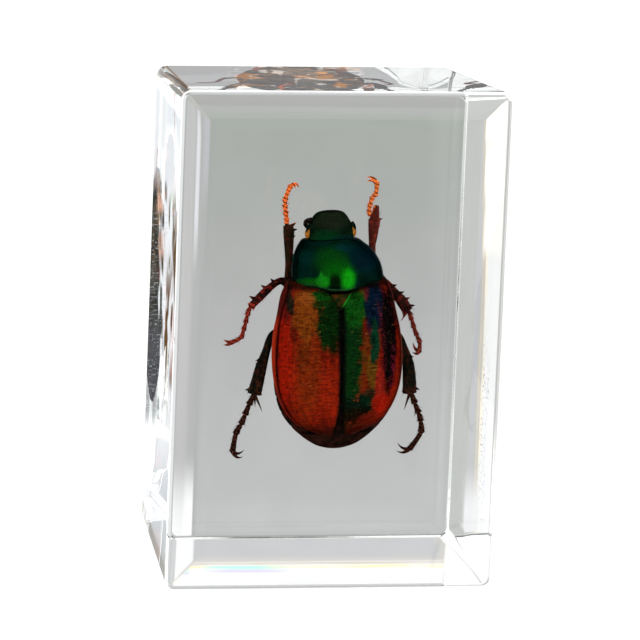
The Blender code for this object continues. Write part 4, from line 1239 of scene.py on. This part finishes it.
# limb: x, y, z, half width, half height; foot: x, y, z of the joints; teeth: share of the limb, side,
# length, lean forward; spurs: tips; claws: x and y of a bend and a tip
legTable = {
    "front_left_leg": {
        "finish": "front legs",
        "footHalf": 0.22,
        "limb": (
            (-1.4, 5.6, -3.75, 0.6, 0.5), (-2.6, 4.75, -3.25, 0.55, 0.45), (-3.45, 4.15, -2.75, 0.4, 0.36),
            (-3.85, 4.35, -2.45, 0.3, 0.26), (-3.8, 5.5, -2.3, 0.3, 0.24), (-3.78, 6.6, -2.2, 0.36, 0.22),
            (-3.78, 7.6, -2.2, 0.43, 0.22), (-3.78, 8.4, -2.2, 0.47, 0.22), (-3.82, 8.95, -2.2, 0.42, 0.2),
        ),
        "foot": (
            (-3.94, 9.0, -2.2), (-3.97, 9.65, -2.2), (-4.04, 10.25, -2.2), (-4.06, 10.8, -2.25),
            (-4.0, 11.4, -2.3), (-3.55, 12.4, -2.4),
        ),
        "teeth": ((0.9, 1, 0.34, 0.1), (0.98, 1, 0.4, 0.6), (0.8, 1, 0.2, 0.4), (0.62, 1, 0.14, 0.3)),
        "spurs": (),
        "claws": ((-2.98, 12.8, -2.84, 12.12), (-3.2, 12.62, -3.15, 12.1)),
        "hairs": 70,
    },
    "front_right_leg": {
        "finish": "front right leg",
        "footHalf": 0.21,
        "limb": (
            (1.4, 6.1, -3.75, 0.6, 0.5), (2.5, 5.5, -3.25, 0.55, 0.45), (3.2, 5.3, -2.8, 0.4, 0.36),
            (3.45, 5.9, -2.5, 0.3, 0.26), (3.45, 6.9, -2.35, 0.3, 0.24), (3.5, 7.6, -2.2, 0.38, 0.22),
            (3.56, 8.4, -2.2, 0.46, 0.22), (3.62, 9.0, -2.2, 0.5, 0.22), (3.72, 9.6, -2.2, 0.34, 0.2),
            (3.8, 10.3, -2.2, 0.25, 0.16),
        ),
        "foot": (
            (3.25, 9.45, -2.2), (3.18, 10.05, -2.2), (3.3, 10.6, -2.2), (3.5, 11.1, -2.25),
            (3.8, 11.45, -2.3), (3.9, 12.35, -2.4),
        ),
        "teeth": ((0.8, 1, 0.3, 0.6), (0.7, 1, 0.16, 0.4), (0.78, -1, 0.14, 0.3)),
        "spurs": (),
        "claws": ((3.55, 13.0, 2.98, 12.78), (3.5, 12.7, 3.0, 12.42)),
        "hairs": 70,
    },
    "middle_left_leg": {
        "finish": "middle legs",
        "footHalf": 0.21,
        "limb": (
            (-1.6, 1.5, -4.65, 0.6, 0.5), (-3.0, 3.0, -4.05, 0.55, 0.45), (-3.9, 3.85, -3.65, 0.38, 0.34),
            (-4.5, 4.05, -3.2, 0.3, 0.26), (-5.3, 3.7, -2.6, 0.32, 0.24), (-6.2, 2.97, -2.3, 0.36, 0.22),
            (-7.12, 2.1, -2.2, 0.3, 0.2),
        ),
        "foot": (
            (-7.2, 2.0, -2.2), (-7.42, 1.3, -2.25), (-7.57, 0.65, -2.3), (-7.75, 0.0, -2.35),
            (-8.0, -0.6, -2.38), (-8.85, -1.02, -2.5),
        ),
        "teeth": (
            (0.6, 1, 0.3, 0.3), (0.76, 1, 0.38, 0.3), (0.92, 1, 0.42, 0.3), (0.97, 1, 0.12, 1.0),
            (0.97, -1, 0.2, 1.0),
        ),
        "spurs": ((-7.65, 1.7, -2.15),),
        "claws": ((-9.15, -0.95, -9.45, -0.7), (-9.1, -1.25, -9.45, -1.15)),
        "hairs": 54,
    },
    "middle_right_leg": {
        "finish": "middle right leg",
        "footHalf": 0.21,
        "limb": (
            (1.6, 1.5, -4.65, 0.6, 0.5), (3.0, 2.9, -4.05, 0.55, 0.45), (4.0, 3.8, -3.5, 0.38, 0.34),
            (4.7, 3.5, -3.0, 0.32, 0.26), (5.3, 2.8, -2.6, 0.36, 0.24), (6.0, 1.9, -2.3, 0.48, 0.22),
            (6.48, 1.1, -2.2, 0.46, 0.2),
        ),
        "foot": (
            (6.6, 0.95, -2.2), (6.85, 0.25, -2.25), (7.05, -0.45, -2.3), (7.3, -1.15, -2.35),
            (7.55, -1.8, -2.4), (7.5, -2.65, -2.5),
        ),
        "teeth": (
            (0.62, -1, 0.3, 0.5), (0.74, -1, 0.34, 0.4), (0.85, -1, 0.36, 0.3), (0.96, -1, 0.42, 0.5),
            (0.97, 1, 0.3, 1.0),
        ),
        "spurs": ((5.85, 0.2, -2.1), (7.05, 0.7, -2.1)),
        "claws": ((7.3, -2.95, 6.9, -2.55), (7.05, -2.4, 6.98, -1.72)),
        "hairs": 54,
    },
    "hind_left_leg": {
        "finish": "hind legs",
        "footHalf": 0.26,
        "limb": (
            (-1.9, -0.6, -4.85, 0.7, 0.5), (-3.6, -0.5, -4.25, 0.7, 0.45), (-4.9, -0.6, -3.2, 0.5, 0.4),
            (-5.45, -0.95, -2.6, 0.36, 0.3), (-5.8, -1.9, -2.4, 0.36, 0.28), (-6.25, -3.2, -2.3, 0.5, 0.26),
            (-6.6, -4.5, -2.2, 0.56, 0.26), (-6.88, -5.5, -2.2, 0.62, 0.24),
        ),
        "foot": (
            (-6.95, -5.6, -2.2), (-7.35, -6.5, -2.25), (-7.7, -7.35, -2.3), (-8.05, -8.15, -2.32),
            (-8.5, -9.0, -2.35), (-8.8, -10.6, -2.45),
        ),
        "teeth": (
            (0.66, 1, 0.3, 0.6), (0.7, 1, 0.2, 0.6), (0.97, 1, 0.42, 0.4), (0.9, 1, 0.16, 0.4),
            (0.97, -1, 0.3, 1.0), (0.79, 1, 0.15, 0.5), (0.84, -1, 0.13, 0.5), (0.92, -1, 0.15, 0.5),
        ),
        "spurs": ((-6.22, -7.12, -2.1), (-6.82, -6.72, -2.3)),
        "claws": ((-8.45, -11.3, -7.9, -11.0), (-8.3, -10.95, -7.78, -10.42)),
        "hairs": 120,
    },
    "hind_right_leg": {
        "finish": "hind legs",
        "footHalf": 0.26,
        "limb": (
            (1.9, -0.7, -4.85, 0.7, 0.5), (3.7, -0.7, -4.25, 0.7, 0.45), (5.1, -0.9, -3.2, 0.5, 0.4),
            (5.75, -1.25, -2.6, 0.36, 0.3), (6.15, -2.2, -2.4, 0.36, 0.28), (6.5, -3.5, -2.3, 0.5, 0.26),
            (6.6, -4.8, -2.2, 0.58, 0.26), (6.62, -6.1, -2.2, 0.62, 0.24),
        ),
        "foot": (
            (6.8, -6.2, -2.2), (7.1, -7.1, -2.25), (7.42, -7.95, -2.3), (7.6, -8.7, -2.32),
            (7.6, -9.7, -2.35), (6.6, -11.15, -2.45),
        ),
        "teeth": (
            (0.66, -1, 0.24, 0.6), (0.8, -1, 0.2, 0.6), (0.97, -1, 0.42, 0.4), (0.9, -1, 0.16, 0.4),
            (0.97, 1, 0.3, 1.0), (0.73, -1, 0.15, 0.5), (0.85, -1, 0.16, 0.5), (0.87, 1, 0.13, 0.5),
        ),
        "spurs": ((6.1, -7.6, -2.1),),
        "claws": ((6.1, -11.6, 5.5, -11.2), (6.0, -11.2, 5.58, -10.5)),
        "hairs": 120,
    },
}

# the antennae: x, y, z and half width
antennaTable = {
    "left_antenna": (
        (-1.7, 9.4, -0.3, 0.38), (-2.15, 9.55, -0.3, 0.28), (-2.45, 9.45, -0.6, 0.2),
        (-2.5, 9.2, -1.4, 0.11), (-2.35, 8.95, -2.15, 0.14), (-2.0, 8.7, -2.45, 0.22),
        (-1.6, 8.55, -2.5, 0.14),
    ),
    "right_antenna": (
        (0.9, 9.3, -1.1, 0.12), (1.2, 9.2, -1.5, 0.13), (1.4, 9.1, -1.9, 0.11), (1.35, 8.95, -2.2, 0.13),
        (1.0, 8.7, -2.45, 0.22), (0.6, 8.55, -2.5, 0.14),
    ),
}


antennaShell = {
    "dark": (0.003, 0.004, 0.003),
    "bright": (0.01, 0.007, 0.004),
    "spots": (),
    "roughness": 0.45,
    "metallic": 0.1,
    "leaves": (0.12, 1.6),  # the club is a stack of three leaves: how deep and how close
}


def limbFrame(points, k):
    # the ways forward and to the right at a point of a limb
    forward = (points[min(k + 1, len(points) - 1)].xyz - points[max(k - 1, 0)].xyz).normalized()
    return forward, forward.cross(Vector((0.0, 0.0, 1.0))).normalized()


def addTube(builder, points, sides):
    # points carry x, y, z and one or two radii
    rings = []
    for k, point in enumerate(points):
        forward, right = limbFrame(points, k)
        up = right.cross(forward)
        ring = []
        for i in range(sides):
            turn = 2 * math.pi * i / sides
            ring.append(point.xyz + right * (math.cos(turn) * point[3]) + up * (math.sin(turn) * point[-1]))
        rings.append(ring)
    joinRings(builder, rings)


def addHorn(builder, base, middle, tip, half, sides=8, steps=7):
    # a curved pointed spine
    points = []
    for k in range(steps + 1):
        t = k / steps
        place = base * (1 - t) ** 2 + middle * (2 * t * (1 - t)) + tip * t**2
        points.append(Vector((*place, max(half * (1 - t) ** 0.8, half * 0.06))))
    addTube(builder, points, sides)


def addFoot(builder, row):
    # a chain of joints that flare to their ends, with two claws
    span = legs["footSpan"]
    centre = pathThrough(row["foot"], span)
    size = row["footHalf"]
    foot = []
    for k in range(len(centre) - 1):
        joint, t = divmod(k / span, 1.0)
        low = max(item for item in legs["jointShape"] if item[0] <= t)
        high = min(item for item in legs["jointShape"] if item[0] > t)
        share = low[1] + (high[1] - low[1]) * (t - low[0]) / (high[0] - low[0])
        half = size * (share if joint < 4 else legs["lastJoint"][0] + legs["lastJoint"][1] * t**2)
        foot.append(Vector((*centre[k], half, half * legs["footFlat"])))
    foot.append(Vector((*centre[-1], *(size * share for share in legs["footEnd"]))))
    addTube(builder, foot, legs["footSides"])
    forward, _ = limbFrame(foot, len(foot) - 1)
    base = foot[-1].xyz - forward * 0.1
    for middleX, middleY, tipX, tipY in row["claws"]:
        middle, end = Vector((middleX, middleY, base.z)), Vector((tipX, tipY, base.z))
        addHorn(builder, base, middle, end, legs["clawHalf"], 8, 9)
    return foot


def makeLeg(name, material):
    row = legTable[name]
    chance = random.Random(name)
    builder = bmesh.new()
    points = pathThrough(row["limb"], legs["perSpan"])
    tip = points[-1].copy()
    forward, _ = limbFrame(points, len(points) - 1)
    for reach, share in legs["limbTip"]:
        points.append(Vector((*(tip.xyz + forward * reach), tip[3] * share, tip[4] * share)))
    addTube(builder, points, legs["sides"])
    toothHalf, growth = legs["toothHalf"]
    last = len(points) - 3
    for share, side, length, lean in row["teeth"]:
        k = min(int(share * last), last)
        forward, right = limbFrame(points, k)
        base = points[k].xyz + right * (side * points[k][3] * legs["toothRoot"])
        way = (right * side + forward * lean).normalized()
        end = base + way * (length + legs["toothExtra"])
        addHorn(builder, base, base + way * (length * 0.7), end, toothHalf + length * growth)
    for spur in row["spurs"]:
        end = Vector(spur)
        base = tip.xyz + (end - tip.xyz) * 0.05
        addHorn(builder, base, base.lerp(end, 0.5) + Vector(legs["spurBow"]), end, legs["spurHalf"])
    foot = addFoot(builder, row)

    shin = points[len(points) // 2:]
    for k in range(row["hairs"]):
        source = foot if k % 3 else shin
        spot = chance.randrange(1, len(source) - 2)
        forward, right = limbFrame(source, spot)
        side = chance.choice((-1, 1))
        up = Vector((0.0, 0.0, 1.0)) * chance.uniform(*legs["hairRise"])
        base = source[spot].xyz + right * (side * source[spot][3] * 0.8)
        way = (right * side + up + forward * chance.uniform(*legs["hairLean"])).normalized()
        length = chance.uniform(*legs["hairLength"])
        addHorn(builder, base, base + way * (length * 0.5), base + way * length, legs["hairHalf"], 3, 2)
    addPiece(name, builder, material, [name])


def legFinish(name, footWay, footStart, footTone, spotTone, shinTone, lean=0.0):
    # spotted shin, and a foot with darker rings
    finish = Finish(name)
    point = finish.point()
    x, y, _ = finish.parts(point)
    y = y + (x - 3.5) * lean if lean else y
    mottle = finish.cloud(point, *legs["mottle"])
    grain = finish.grain(point, legs["grain"])
    factors, scale, dark = legs["rings"]
    values = {"Vector": finish.stretch(point, factors), "Scale": scale, "Distortion": 1.0, "Detail": 2.0}
    rings = finish.node("ShaderNodeTexWave", {"bands_direction": "DIAGONAL"}, values, 1)
    ringTone = [value * dark for value in footTone]
    foot = finish.blend(finish.step(rings, 0.68, 0.9), footTone, ringTone)
    colour = finish.blend(finish.step(mottle, 0.48, 0.66), shinTone, spotTone)
    colour = finish.blend(finish.step(y * footWay, footStart - 0.1, footStart + 0.1), colour, foot)
    return finish.closeShell(colour, 0.36 + grain * 0.15, 0.0, (grain, 0.8, 0.08))


def makeAntenna(name, material):
    builder = bmesh.new()
    deep, close = antennaShell["leaves"]
    shaped = []
    for k, point in enumerate(pathThrough(antennaTable[name], 8)):
        leaf = 1.0 + deep * math.cos(k * close)
        shaped.append(Vector((*point.xyz, point[3] * leaf)))
    addTube(builder, shaped, 14)
    addPiece(name, builder, material, [name])


makeHead(shellFinish("dark head", headPlate))
makeEyes()
print("head made")

finishes = {name: legFinish(name, *row) for name, row in legFinishes.items()}
for name, row in legTable.items():
    makeLeg(name, finishes[row["finish"]])
antennaBrown = shellFinish("antenna brown", antennaShell, bellyTop=-9.0)
for name in antennaTable:
    makeAntenna(name, antennaBrown)
print("legs and antennae made")
